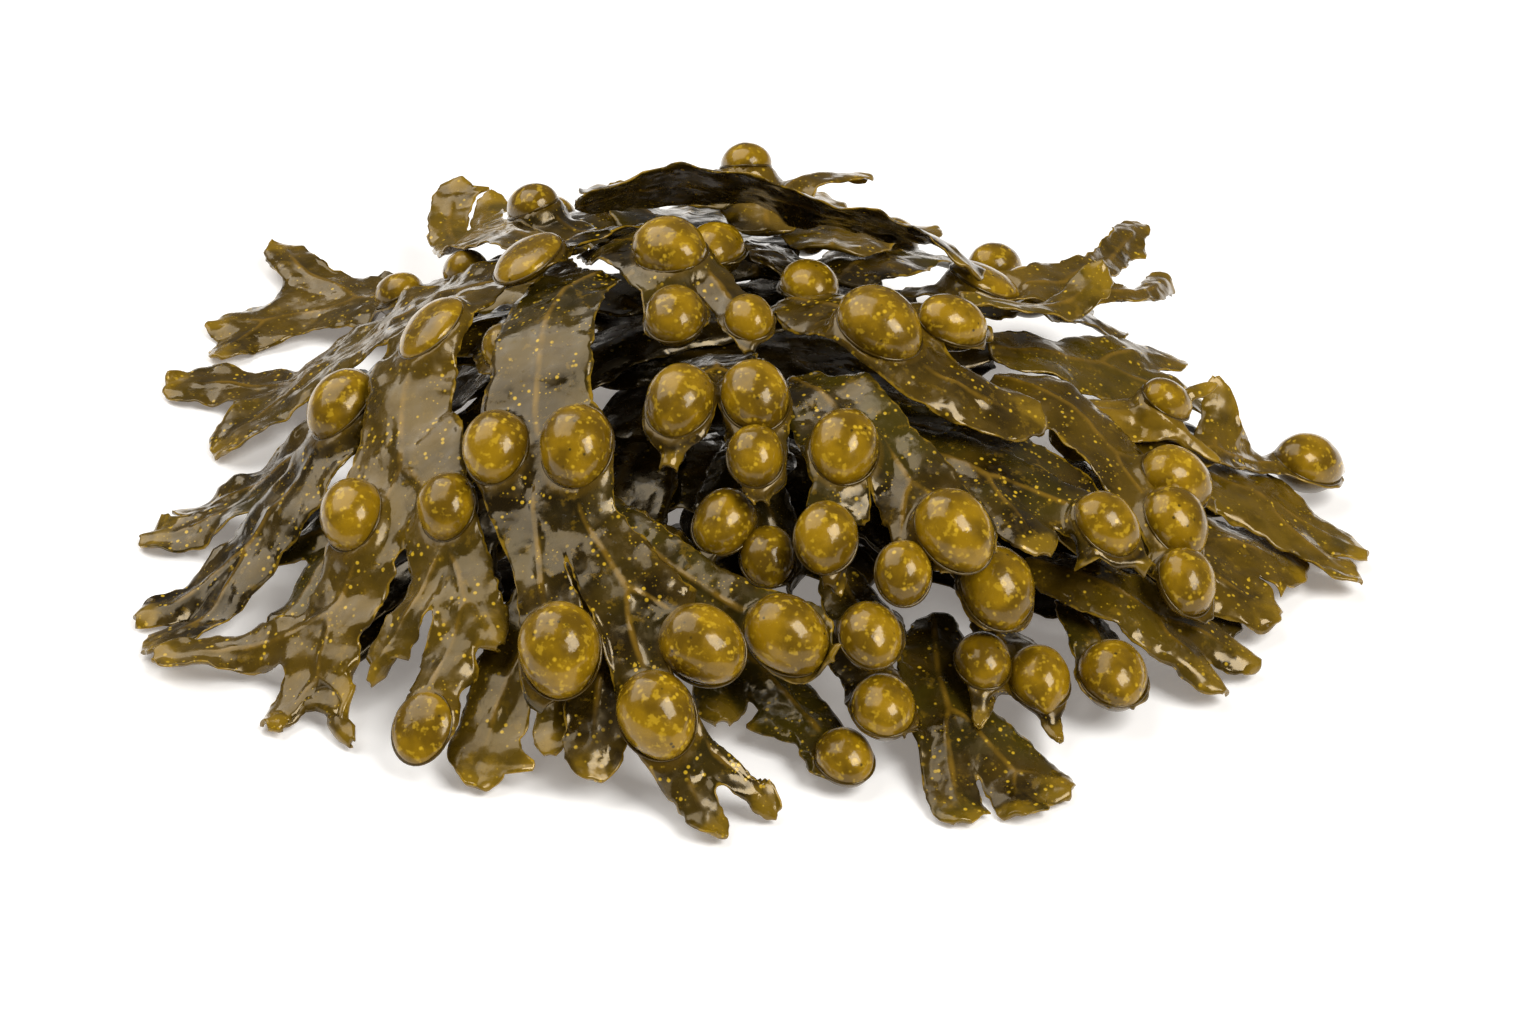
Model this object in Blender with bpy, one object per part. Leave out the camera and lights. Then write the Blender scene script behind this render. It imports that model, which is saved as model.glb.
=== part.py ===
"""Bladderwrack: one clump of forked, waved fronds with air bladders, lying in a heap on a surface.

Every frond is a thin blade with a midrib, forked again and again, with its bladders fused into it.
The fronds are laid one after another, from the bottom up: each keeps to its own height in the heap and
is lifted clear of what already lies below it. Lengths in the layout are millimetres, and meshes are
made in metres.
"""

import math

import bmesh
import bpy
import numpy as np
from mathutils import Matrix, Vector

MM = 0.001

# The heap: its height in the middle, and how far it spreads
HEAP_HEIGHT = 50.0
HEAP_HALF_WIDTH = 98.0
HEAP_FRONT = 88.0
HEAP_REAR = 100.0
HEAP_CENTRE_Y = 8.0
HEAP_SHOULDER = 1.15
RIM_HEIGHT = 0.7

# The blade
BLADE_THICK = 0.8
MIDRIB_RISE = 0.7
MOST_STEEP = 2.4
ROW_SPACING = 9.0
ROUTE_STEP = 0.5
WAVE_HEIGHT = 0.9
WAVE_LENGTH = 17.0
EDGE_CUT = 0.09
EDGE_CUT_LENGTH = 13.0
FORK_SWELL = 1.2
FORK_LEAD = 0.2
TIP_TAPER = 0.92
TIP_END = 0.62
TIP_SHOULDER = 0.34
TIP_NOTCH = 0.12
ROOT_TAPER = 0.6

# The bladders
BLADDER_LONG = 1.2
BLADDER_DEEP = 0.92
BLADDER_SUNK = 0.72
BLADDER_RIM = 1.1
BLADDER_SIDES = 8
BLADDER_RINGS = 5
BLADDER_FULLER = 1.04
FLAT_BLADDER_DEEP = 0.42

# Laying: a grid of heights, the gap left between fronds, and how a blade gives
CELL = 0.5
GRID_HALF = 140.0
GAP = 0.32
RELAX_STEPS = 36
GIVE = 0.5
SETTLE = 0.985
CLEAR_STEPS = 12


def branch(width, route, *forks, bladders=(), flat_bladders=(), roll=0.0):
    """One length of blade. Route points are (x, y) or (x, y, lift), bladders (x, y, size)."""
    return {
        "width": width,
        "route": [tuple(p) + (0.0,) * (3 - len(p)) for p in route],
        "forks": forks,
        "bladders": [b + (False,) for b in bladders] + [b + (True,) for b in flat_bladders],
        "roll": roll,
    }


# The fronds from the bottom up: name, height in the heap (0 floor, 1 top) and their branches
FRONDS = [
    ("frond_base", 0.0, branch(
        15, [(-50, -12), (-26, -4), (-2, 1), (20, 4)],
        branch(12, [(36, -8), (56, -18)]),
        branch(12, [(38, 18), (58, 26)]))),
    ("frond_front_end_low", 0.2, branch(
        12, [(-6, -32), (-3, -41)],
        branch(9, [(-6, -49), (-5, -57)]),
        branch(10, [(4, -50), (10, -59), (14, -69)], bladders=[(14, -65, 9)]))),
    ("frond_front_ends", 0.2, branch(
        9, [(10, -34), (16, -46), (20, -56), (22, -67)], bladders=[(20, -61, 10)])),
    ("frond_inner_rear", 0.15, branch(
        18, [(-4, -18), (-2, 14), (0, 44), (2, 58)],
        branch(13, [(-14, 76), (-20, 92)]),
        branch(13, [(14, 76), (20, 93)]))),
    ("frond_inner_left", 0.3, branch(
        18, [(14, 10), (-20, 0), (-48, -8)],
        branch(13, [(-64, -2), (-82, 0)]),
        branch(13, [(-60, -24), (-72, -38)]))),
    ("frond_inner_right", 0.3, branch(
        18, [(0, 10, -4), (26, 2), (50, -4)],
        branch(13, [(68, -20), (80, -30)]),
        branch(13, [(68, 6), (84, 12)]))),
    ("frond_inner_centre", 0.45, branch(
        17, [(-24, -12), (-4, -10), (14, -12)],
        branch(13, [(30, -8), (42, 0)]),
        branch(12, [(23, -22), (27, -28)]))),
    ("frond_inner_front", 0.5, branch(
        16, [(-16, 14), (-19, 2), (-22, -12), (-24, -24)],
        branch(12, [(-34, -36), (-38, -46)]),
        branch(12, [(-15, -35), (-13, -43)]))),
    ("frond_inner_front_left", 0.4, branch(
        15, [(-30, 2), (-41, -9), (-50, -19)],
        branch(12, [(-62, -26), (-69, -34)]),
        branch(11, [(-46, -34), (-45, -43)]))),
    ("frond_inner_front_right", 0.35, branch(
        15, [(-2, -4), (3, -15), (5, -24)],
        branch(12, [(-3, -34), (-5, -41)]),
        branch(11, [(14, -31), (17, -37)]))),
    ("frond_inner_right_front", 0.4, branch(
        16, [(22, 6), (36, -8), (45, -15)],
        branch(13, [(59, -18), (70, -22)]),
        branch(12, [(45, -24), (46, -29)]))),
    ("frond_inner_crown", 0.6, branch(
        17, [(-28, 16), (-6, 14), (14, 10)],
        branch(13, [(30, 18), (40, 28)]),
        branch(13, [(28, -2), (38, -10)]))),
    ("frond_inner_crown_rear", 0.66, branch(
        17, [(28, 40), (8, 34), (-10, 28)],
        branch(12, [(-26, 35), (-38, 44)]),
        branch(14, [(-26, 15), (-34, 3)]))),
    ("frond_inner_left_rear", 0.4, branch(
        15, [(-30, 14), (-46, 18), (-58, 26)],
        branch(11, [(-70, 36), (-80, 46)]),
        branch(11, [(-70, 20), (-84, 20)]))),
    ("frond_low_rear_left", 0.5, branch(
        13, [(-20, 26, -6), (-38, 46), (-54, 66)],
        branch(10, [(-66, 82), (-74, 94)]),
        branch(10, [(-50, 82), (-48, 96)]))),
    ("frond_low_rear_right", 0.5, branch(
        13, [(24, 16, -6), (46, 22), (62, 26)],
        branch(10, [(74, 20), (84, 20)]),
        branch(10, [(68, 38), (72, 48)]))),
    ("frond_left_under", 0.55, branch(
        13, [(-36, 4, -8), (-52, -7, -3), (-66, -15)],
        branch(8, [(-79, -13), (-90, -12)]),
        branch(8, [(-74, -25), (-79, -34)]))),
    ("frond_front_low_left", 0.6, branch(
        13, [(-18, -24, -6), (-28, -36, -2), (-34, -46)],
        branch(12, [(-40, -56), (-44, -70)]),
        branch(8, [(-31, -57), (-32, -67)]))),
    ("frond_front_strip", 0.65, branch(
        10, [(-12, -30, -6), (-19, -42, -2), (-23, -53), (-25, -64), (-25, -73)])),
    ("frond_hollow", 0.75, branch(
        12, [(2, -6, -12), (0, -17, -8), (-2, -25, -6)],
        branch(9, [(-7, -36, -5), (-9, -43, -7)], bladders=[(-5, -34, 10)]),
        branch(9, [(4, -34, -9), (5, -43, -10)], bladders=[(2, -38, 9)]))),
    ("frond_rear_left_tips", 0.9, branch(
        16, [(-34, 38, -8), (-50, 58, 0), (-66, 73, 2), (-76, 79, 2)],
        branch(9, [(-87, 90, 2), (-94, 104, 2)]),
        branch(15, [(-88, 79), (-95, 75)],
               branch(10, [(-105, 76)]),
               branch(9, [(-101, 62)])),
        bladders=[(-66, 66, 9), (-53, 60, 8)])),
    ("frond_left_broad", 0.8, branch(
        17, [(-38, 36, -8), (-56, 42, -1), (-72, 45), (-81, 46)],
        branch(13, [(-96, 52), (-110, 53)]),
        branch(15, [(-89, 38), (-96, 27)]))),
    ("frond_left_upper", 0.75, branch(
        14, [(-42, 20, -7), (-60, 15, -1), (-76, 9), (-86, 6)],
        branch(8, [(-95, 9), (-102, 10)]),
        branch(9, [(-97, 2), (-107, 2)]))),
    ("frond_right_low", 0.5, branch(
        18, [(44, -8, -5), (57, -13, -2), (71, -17)],
        branch(14, [(84, -11), (94, -12)]),
        branch(13, [(80, -23), (88, -25)]))),
    ("frond_right_tips", 0.55, branch(
        17, [(50, 7, -4), (63, 5, -2), (78, 3), (88, 1)],
        branch(10, [(97, -2), (105, -5)]),
        branch(9, [(96, -10), (102, -15)]))),
    ("frond_right_terminal", 0.65, branch(
        8, [(58, 2, -6), (68, 1, -1), (78, 4)],
        branch(6, [(87, 11), (96, 16), (103, 18)], bladders=[(96, 16, 11)]),
        branch(7, [(80, 12, 5), (79, 17, 12)]))),
    ("frond_shadow", 0.4, branch(
        9, [(13, -36, -4), (15, -43, -3), (18, -49, -2), (20, -58)], bladders=[(18, -54, 10)])),
    ("frond_front_fan", 0.35, branch(
        9, [(29, -33, -3), (29, -44, -1), (30, -56)],
        branch(8, [(31, -67), (32, -78)]),
        branch(9, [(36, -62), (42, -67)],
               branch(8, [(40, -77)]),
               branch(8, [(50, -70)])))),
    ("frond_front_right_pair", 0.3, branch(
        10, [(37, -34, -3), (40, -42, -1), (41, -48)],
        branch(8, [(36, -54), (35, -61)]),
        branch(8, [(46, -54), (48, -61)]), bladders=[(36, -50, 9), (45, -50, 10)])),
    ("frond_front_right_end", 0.2, branch(
        10, [(51, -30), (54, -37), (57, -46), (58, -55)], bladders=[(57, -48, 11)])),
    ("frond_right_lying", 0.65, branch(
        12, [(44, -28, -9), (54, -33, -3), (66, -37)],
        branch(8, [(74, -36), (83, -37)]),
        branch(7, [(71, -42), (76, -46)]))),
    ("frond_left", 0.93, branch(
        14, [(-40, 24, -6), (-55, 19, -1), (-67, 8), (-74, -4), (-85, -14)],
        branch(9, [(-95, -19), (-104, -23)]),
        branch(9, [(-92, -25), (-101, -33)]), bladders=[(-69, 3, 12)])),
    ("frond_rear_left_raised", 1.0, branch(
        12, [(-32, 40, -7), (-44, 56, 0), (-54, 75, 5)],
        branch(9, [(-59, 90, 11), (-58, 104, 16)]),
        branch(8, [(-52, 88, 11), (-50, 99, 15)]))),
    ("frond_rear_left", 0.78, branch(
        15, [(-18, 42, -8), (-24, 52, -3), (-30, 64, -1)],
        branch(12, [(-38, 78), (-41, 88)], bladders=[(-39, 80, 11)]),
        branch(11, [(-24, 78), (-22, 92)], bladders=[(-24, 86, 10)]))),
    ("frond_rear", 0.75, branch(
        15, [(0, 38, -8), (-1, 51, -2), (0, 64)],
        branch(12, [(-9, 80), (-11, 97)], bladders=[(-9, 80, 11)]),
        branch(11, [(9, 80), (10, 95)], bladders=[(9, 85, 10)]))),
    ("frond_rear_right", 0.75, branch(
        15, [(14, 36, -8), (21, 47, -2), (28, 60)],
        branch(12, [(25, 77), (27, 93)], bladders=[(25, 76, 10)]),
        branch(12, [(41, 70), (48, 82)], bladders=[(44, 71, 10)]))),
    ("frond_right_rear_lying", 0.8, branch(
        14, [(32, 26, -6), (42, 36, -1), (52, 46)],
        branch(11, [(56, 58), (59, 70)]),
        branch(10, [(62, 48), (67, 50)]), bladders=[(48, 42, 10)])),
    ("frond_right_broad", 0.93, branch(
        15, [(40, 15, -7), (49, 17, -5), (60, 21, -3)],
        branch(10, [(68, 30, 1), (76, 35, 3)]),
        branch(10, [(71, 21, -1), (80, 24, 1)]))),
    ("frond_golden_tips", 0.85, branch(
        10, [(48, 4, -10), (57, 3, -6), (66, 4, -4)],
        branch(6, [(72, 9, 1), (79, 13, 5)]),
        branch(7, [(72, 1, -1), (79, -1)]), bladders=[(69, 6, 8)])),
    ("frond_under_bladder", 0.8, branch(
        11, [(30, -22, -14), (35, -33, -8), (39, -50, -3)], bladders=[(38, -43, 12)])),
    ("frond_curved_edge", 0.85, branch(
        16, [(20, -4, -12), (32, -13, -6), (42, -18, -1), (51, -24), (55, -32)])),
    ("frond_right_chain", 0.9, branch(
        13, [(40, 4, -9), (50, -1, -6), (60, -10, -4)],
        branch(10, [(65, -20, -3), (69, -29, -2), (71, -40)], bladders=[(68, -22, 11), (69, -34, 10)]),
        branch(9, [(68, -12, -2), (77, -12)], bladders=[(69, -12, 11)]))),
    ("frond_right_fan", 0.85, branch(
        14, [(22, -14, -12), (30, -21, -8), (38, -26, -5)],
        branch(11, [(42, -34, -3), (46, -42)]),
        branch(11, [(48, -28, -4), (56, -32, -3), (64, -37)], bladders=[(56, -32, 10)]))),
    ("frond_hollow_bladders", 1.0, branch(
        10, [(6, 44, -14), (3, 36, -11)],
        branch(9, [(-5, 27, -7), (-8, 15, -3)], bladders=[(-7, 21, 10)]),
        branch(8, [(8, 27, -12), (11, 16, -11)], bladders=[(9, 21, 10)]))),
    ("frond_left_crinkled", 1.0, branch(
        13, [(-28, 22, -12), (-37, 18, -8), (-44, 13, -4)],
        branch(13, [(-53, 9, -2), (-62, 3)]),
        branch(10, [(-43, 3, -2), (-41, -10)], bladders=[(-41, -2, 8)]))),
    ("frond_long_strip", 0.9, branch(
        9, [(-27, -26, -9), (-22, -34, -7), (-15, -41, -6), (-6, -47, -8), (4, -53, -9), (13, -60, -5)],
        bladders=[(5, -54, 12)])),
    ("frond_left_front", 1.0, branch(
        16, [(-44, 22, -4), (-53, 10), (-58, -6), (-57, -20)],
        branch(13, [(-64, -31), (-69, -38)],
               branch(9, [(-81, -36), (-90, -36), (-99, -36)]),
               branch(12, [(-70, -46)],
                      branch(10, [(-79, -53)]),
                      branch(9, [(-64, -58)]))),
        branch(12, [(-51, -31), (-49, -37)],
               branch(8, [(-56, -44), (-62, -50)]),
               branch(11, [(-45, -46)],
                      branch(10, [(-50, -55), (-53, -66)], flat_bladders=[(-52, -62, 10)]),
                      branch(7, [(-40, -53)]))),
        bladders=[(-65, -24, 11), (-49, -30, 10)], flat_bladders=[(-54, 5, 12)])),
    ("frond_front_left", 1.0, branch(
        16, [(-26, 12, -6), (-33, 0, -1), (-35, -16), (-35, -31)],
        branch(10, [(-34, -44), (-31, -65)], bladders=[(-30, -58, 13)]),
        branch(12, [(-26, -42), (-20, -50)],
               branch(10, [(-18, -59, 1), (-12, -70, 2)],
                      branch(7, [(-9, -76), (-5, -82, -1)]),
                      branch(7, [(-4, -72), (4, -76, -3)]), bladders=[(-15, -67, 12)]),
               branch(10, [(-13, -54), (-3, -61)], bladders=[(-8, -58, 12)])),
        bladders=[(-41, -27, 11), (-28, -30, 12)])),
    ("frond_centre_right", 1.0, branch(
        14, [(6, -8, -11), (10, -15, -7), (15, -22, -4)],
        branch(10, [(14, -32, -1), (12, -50, -3)], bladders=[(14, -30, 11), (11, -43, 10)]),
        branch(12, [(22, -29, -5), (25, -35, -6)],
               branch(8, [(23, -43, -9), (22, -52, -11)], bladders=[(23, -48, 9)]),
               branch(11, [(31, -40, -5), (37, -46, -5)], bladders=[(31, -43, 12)])))),
    ("frond_broad_blade", 1.0, branch(
        15, [(4, 12, -9), (12, 5, -4), (20, -3, -1)],
        branch(14, [(28, -12), (38, -15), (48, -12)]),
        branch(9, [(29, 1), (35, 2), (40, 4)], bladders=[(32, 0, 10)]), bladders=[(20, -5, 13)])),
    ("frond_centre", 1.0, branch(
        12, [(-8, 4, -15), (-7, -5, -9), (-6, -12, -4)],
        branch(10, [(-11, -20, -1), (-14, -32, -2)], bladders=[(-12, -22, 11)]),
        branch(10, [(-1, -20, -3), (1, -38, -3)], bladders=[(0, -21, 11), (0, -31, 9)]))),
    ("frond_crown", 1.0, branch(
        13, [(-28, 30, -9), (-22, 21, -6), (-16, 11, -5)],
        branch(8, [(-14, 2, -6), (-13, -9, -6)], bladders=[(-13, -4, 10)]),
        branch(7, [(-6, 3, -5), (-1, -13, -5)], bladders=[(-1, -6, 8)]), bladders=[(-14, 11, 12)])),
    ("frond_crown_left", 1.0, branch(
        11, [(-18, 38, -10), (-25, 33, -8)],
        branch(8, [(-33, 38, -4), (-38, 43, 2), (-42, 48, 5)], bladders=[(-39, 44, 9)]),
        branch(9, [(-31, 26, -9), (-36, 18, -9), (-40, 8, -7)], flat_bladders=[(-38, 13, 12)]))),
    ("frond_right_curl", 1.0, branch(
        8, [(34, 8, -8), (44, 10, -4), (52, 14, 0), (57, 19, 6), (60, 23, 12)])),
    ("frond_right_raised", 1.0, branch(
        10, [(26, 28, -10), (32, 24, -5), (42, 24), (54, 30, 4)],
        branch(7, [(62, 44, 10), (70, 66, 21)]),
        branch(6, [(67, 37, 8), (74, 51, 14)]), flat_bladders=[(39, 24, 11)])),
    ("frond_rear_mid_left", 0.8, branch(
        17, [(-12, 44, -8), (-15, 56, -4)],
        branch(11, [(-24, 64, -3), (-29, 76)]),
        branch(10, [(-12, 68, -2), (-10, 80)]))),
    ("frond_rear_mid_right", 0.8, branch(
        17, [(13, 42, -8), (15, 55, -4)],
        branch(10, [(11, 67, 1), (12, 78, 4)]),
        branch(10, [(24, 64, -3), (33, 73)]))),
    ("frond_crown_rear", 1.0, branch(
        15, [(2, 42, -9), (1, 52, -2)],
        branch(9, [(-2, 61, 5), (-5, 69, 7)], bladders=[(-2, 62, 9)]),
        branch(10, [(10, 58, 4), (21, 62, 6)]))),
    ("frond_crown_tips", 1.0, branch(
        9, [(-4, 46, -8), (-10, 50, -3)],
        branch(6, [(-18, 53, 1), (-27, 58, 5)]),
        branch(6, [(-14, 57, 1), (-16, 64, 4)]))),
    ("frond_arch", 1.0, branch(
        17, [(-31, 36, -8), (-21, 39, -7), (-8, 39, -6), (8, 35, -7), (21, 30, -7), (30, 22, -7), (37, 11, -8)],
        roll=-0.95)),
]


def heap_height(x, y):
    """Height of the heap's surface over a point of the ground."""
    reach = np.where(np.asarray(y) > HEAP_CENTRE_Y, HEAP_REAR, HEAP_FRONT)
    spread = (x / HEAP_HALF_WIDTH) ** 2 + ((y - HEAP_CENTRE_Y) / reach) ** 2
    return HEAP_HEIGHT * np.clip(1.0 - spread, 0.0, None) ** HEAP_SHOULDER


def heap_slope(x, y):
    """Rise of the heap's surface per millimetre along x and along y."""
    half = 0.5
    along_x = (heap_height(x + half, y) - heap_height(x - half, y)) / (2 * half)
    along_y = (heap_height(x, y + half) - heap_height(x, y - half)) / (2 * half)
    return float(along_x), float(along_y)


def smooth_route(points, before=None):
    """A Catmull-Rom curve through (x, y, lift) points, sampled finely."""
    points = np.array(points, float)
    first = 2 * points[0] - points[1] if before is None else np.array(before, float)
    padded = np.vstack([first, points, 2 * points[-1] - points[-2]])
    curve = [points[0]]
    for i in range(1, len(padded) - 2):
        a, b, c, d = padded[i - 1 : i + 3]
        steps = max(2, math.ceil(np.linalg.norm(c[:2] - b[:2]) / ROUTE_STEP))
        for k in range(1, steps + 1):
            t = k / steps
            bend = 2 * a - 5 * b + 4 * c - d
            curve.append(0.5 * (2 * b + (c - a) * t + bend * t**2 + (3 * b - a - 3 * c + d) * t**3))
    return np.array(curve)


class Route:
    """A branch's centre line over the heap, measured along its own length."""

    def __init__(self, points, before, level):
        self.curve = smooth_route(points, before)
        self.level = level
        height = level * heap_height(self.curve[:, 0], self.curve[:, 1]) + self.curve[:, 2]
        steps = np.diff(np.column_stack([self.curve[:, :2], height]), axis=0)
        self.distance = np.concatenate([[0.0], np.cumsum(np.linalg.norm(steps, axis=1))])
        self.length = self.distance[-1]

    def at(self, s):
        """x, y, lift, and the unit direction on the ground, at a distance along the route."""
        here = [np.interp(s, self.distance, self.curve[:, k]) for k in range(3)]
        low = np.interp(max(s - 1.0, 0.0), self.distance, np.arange(len(self.curve)))
        high = np.interp(min(s + 1.0, self.length), self.distance, np.arange(len(self.curve)))
        step = self.curve[math.ceil(high), :2] - self.curve[math.floor(low), :2]
        return *here, step / np.linalg.norm(step)

    def nearest(self, x, y):
        """How far along the route the point lies, and how far to its left."""
        i = int(np.argmin(np.hypot(self.curve[:, 0] - x, self.curve[:, 1] - y)))
        s = float(self.distance[i])
        here_x, here_y, _, ahead = self.at(s)
        return s, float(ahead[0] * (y - here_y) - ahead[1] * (x - here_x))


class Sheet:
    """The middle surface of one frond, as points with wished heights, faces and bladders."""

    def __init__(self, level, seed, spacing):
        self.level = level
        self.spacing = spacing
        self.phase = seed * 2.4
        self.flat = level == 0.0
        self.xy = []
        self.wish = []
        self.ridge = []
        self.faces = []
        self.bladders = []

    def add(self, x, y, lift, ridge):
        height = self.level * float(heap_height(x, y)) + lift
        self.xy.append((x, y))
        self.wish.append(BLADE_THICK / 2 + (0.0 if self.flat else RIM_HEIGHT + height))
        self.ridge.append(ridge)
        return len(self.xy) - 1

    def edge_point(self, route, s, side, half_width, roll, travelled):
        """A point of the edge, left (+1) or right (-1), with the wave of the edge."""
        x, y, lift, ahead = route.at(s)
        outward = side * np.array([-ahead[1], ahead[0]])
        rise = self.level * float(np.dot(heap_slope(x, y), outward)) + side * roll
        reach = half_width / math.sqrt(1 + rise**2)
        turn = 2 * math.pi * (travelled + s) / WAVE_LENGTH + self.phase
        wave = 0.0 if self.flat else side * WAVE_HEIGHT * math.sin(turn)
        end = np.array([x, y]) + reach * outward
        return self.add(end[0], end[1], lift + wave + side * roll * reach, 0.0)

    def middle_point(self, route, s):
        x, y, lift, _ = route.at(s)
        return self.add(x, y, lift, 1.0)


def half_width(part, bladders, s, side, base, travelled, phase):
    """Half the blade's width: its own, with shallow cuts, or wider where it surrounds a bladder."""
    cut = 1 + EDGE_CUT * math.sin(2 * math.pi * (travelled + s) / EDGE_CUT_LENGTH + phase + side)
    width = base * cut
    for along, left, size, _ in bladders:
        around = (size * BLADDER_LONG / 2 + BLADDER_RIM) ** 2 - (s - along) ** 2
        if around > 0:
            width = max(width, side * left + math.sqrt(around) * (size / 2 + BLADDER_RIM)
                        / (size * BLADDER_LONG / 2 + BLADDER_RIM))
    return width


def grow(sheet, part, start, before, travelled, first_row=None, first_at=0.0):
    """Adds a branch and all that forks from it. The first row is the fork's, or the cut end."""
    route = Route([start] + part["route"], before, sheet.level)
    found = [route.nearest(x, y) + (size, flat) for x, y, size, flat in part["bladders"]]
    last = route.length
    base = part["width"] / 2
    end_scale = FORK_SWELL if part["forks"] else TIP_TAPER

    def widths(s):
        share = s / last
        here = base * (1 + (end_scale - 1) * share)
        if first_row is None:
            here *= ROOT_TAPER + (1 - ROOT_TAPER) * min(1.0, s / ROW_SPACING)
        return [half_width(part, found, s, side, here, travelled, sheet.phase) for side in (1, -1)]

    def row(s, scale=1.0, pulled=0.0):
        left, right = widths(s)
        roll = part["roll"]
        return (sheet.edge_point(route, s, 1, left * scale, roll, travelled),
                sheet.middle_point(route, s - pulled),
                sheet.edge_point(route, s, -1, right * scale, roll, travelled))

    body_end = last - (FORK_LEAD if part["forks"] else TIP_SHOULDER) * part["width"]
    count = max(1, round((body_end - first_at) / sheet.spacing))
    places = np.linspace(first_at, body_end, count + 1)
    rows = [first_row or row(places[0])]
    rows += [row(s) for s in places[1:]]
    if not part["forks"]:
        rows.append(row(last, TIP_END, TIP_NOTCH * part["width"]))
    for (left, middle, right), (next_left, next_middle, next_right) in zip(rows, rows[1:]):
        sheet.faces.append((left, middle, next_middle, next_left))
        sheet.faces.append((middle, right, next_right, next_middle))
    for x, y, size, flat in part["bladders"]:
        along, _ = route.nearest(x, y)
        sheet.bladders.append((x, y, size, flat, route.at(along)[3]))
    if part["forks"]:
        fork(sheet, part, route, rows[-1], travelled + last)


def plant(sheet, stem):
    """Grows a whole frond from its root."""
    first, second = stem["route"][:2]
    before = tuple(2 * np.array(first) - np.array(second))
    grow(sheet, dict(stem, route=stem["route"][1:]), first, before, 0.0)


def fork(sheet, part, route, row, travelled):
    """Splits the blade in two at the end of a branch: two new rows that meet at the crotch."""
    x, y, lift, ahead = route.at(route.length)
    end = (x, y, lift)
    before = tuple(route.curve[-2 - int(4 / ROUTE_STEP)])
    ways = [Route([end] + child["route"], before, sheet.level) for child in part["forks"]]
    mean_width = sum(child["width"] for child in part["forks"]) / 2
    leaves = [way.at(min(mean_width, way.length))[:2] - np.array([x, y]) for way in ways]
    turned = [math.atan2(ahead[0] * v[1] - ahead[1] * v[0], float(np.dot(ahead, v))) for v in leaves]
    order = (0, 1) if turned[0] > turned[1] else (1, 0)
    half_angle = max(0.2, abs(turned[0] - turned[1]) / 2)
    spread = np.clip(mean_width / 2 / math.tan(half_angle), 0.6 * mean_width, 1.4 * mean_width)
    at = [min(float(spread), 0.55 * way.length) for way in ways]

    def edge(index, side):
        child = part["forks"][index]
        base = child["width"] / 2
        found = [ways[index].nearest(x, y) + (size, flat) for x, y, size, flat in child["bladders"]]
        reach = half_width(child, found, at[index], side, base, travelled, sheet.phase)
        return sheet.edge_point(ways[index], at[index], side, reach, child["roll"], travelled)

    left, right = order
    outer_left = edge(left, 1)
    middle_left = sheet.middle_point(ways[left], at[left])
    middle_right = sheet.middle_point(ways[right], at[right])
    outer_right = edge(right, -1)
    inner = [inner_place(ways[left], at[left], -1, part["forks"][left]["width"] / 2),
             inner_place(ways[right], at[right], 1, part["forks"][right]["width"] / 2)]
    crotch_x, crotch_y, crotch_lift = (inner[0] + inner[1]) / 2
    crotch = sheet.add(crotch_x, crotch_y, crotch_lift, 0.0)
    parent_left, parent_middle, parent_right = row
    sheet.faces.append((parent_left, parent_middle, middle_left, outer_left))
    sheet.faces.append((parent_middle, crotch, middle_left))
    sheet.faces.append((parent_middle, middle_right, crotch))
    sheet.faces.append((parent_middle, parent_right, outer_right, middle_right))
    grow(sheet, part["forks"][left], end, before, travelled, (outer_left, middle_left, crotch), at[left])
    grow(sheet, part["forks"][right], end, before, travelled, (crotch, middle_right, outer_right), at[right])


def inner_place(route, s, side, reach):
    """Where the edge of a branch that faces its neighbour passes, with the lift there."""
    x, y, lift, ahead = route.at(s)
    return np.array([x - side * reach * ahead[1], y + side * reach * ahead[0], lift])


def triangles_of(faces):
    """The faces as triangles, each quad split the same way for both sides of the blade."""
    return np.array([(f[0], f[i], f[i + 1]) for f in faces for i in range(1, len(f) - 1)])


def steepness(xy, height, triangles):
    """One over the cosine of the slope at each point, for the blade's thickness."""
    points = np.column_stack([xy, height])
    a, b, c = (points[triangles[:, k]] for k in range(3))
    normal = np.cross(b - a, c - a)
    total = np.zeros_like(points)
    for k in range(3):
        np.add.at(total, triangles[:, k], normal)
    upright = total[:, 2] / np.linalg.norm(total, axis=1)
    return 1 / np.clip(upright, 1 / MOST_STEEP, None)


def new_ball():
    """A round bladder of radius one, a little fuller so that its flat facets keep the true size."""
    ball = bmesh.new()
    bmesh.ops.create_uvsphere(ball, u_segments=BLADDER_SIDES, v_segments=BLADDER_RINGS, radius=BLADDER_FULLER)
    return ball


def ball_shape():
    """The points and triangles of that ball."""
    ball = new_ball()
    points = np.array([v.co[:] for v in ball.verts])
    triangles = triangles_of([[v.index for v in f.verts] for f in ball.faces])
    ball.free()
    return points, triangles


def bladder_axes(x, y, size, flat, ahead, level):
    """Columns: half its length along the branch, half its width across, half its depth."""
    slope = level * np.array(heap_slope(x, y))
    along = np.array([ahead[0], ahead[1], float(np.dot(slope, ahead))])
    normal = np.array([-slope[0], -slope[1], 1.0])
    along /= np.linalg.norm(along)
    normal /= np.linalg.norm(normal)
    across = np.cross(normal, along)
    deep = FLAT_BLADDER_DEEP if flat else BLADDER_DEEP
    return np.column_stack([along * size / 2 * BLADDER_LONG, across * size / 2, normal * size / 2 * deep])


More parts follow.
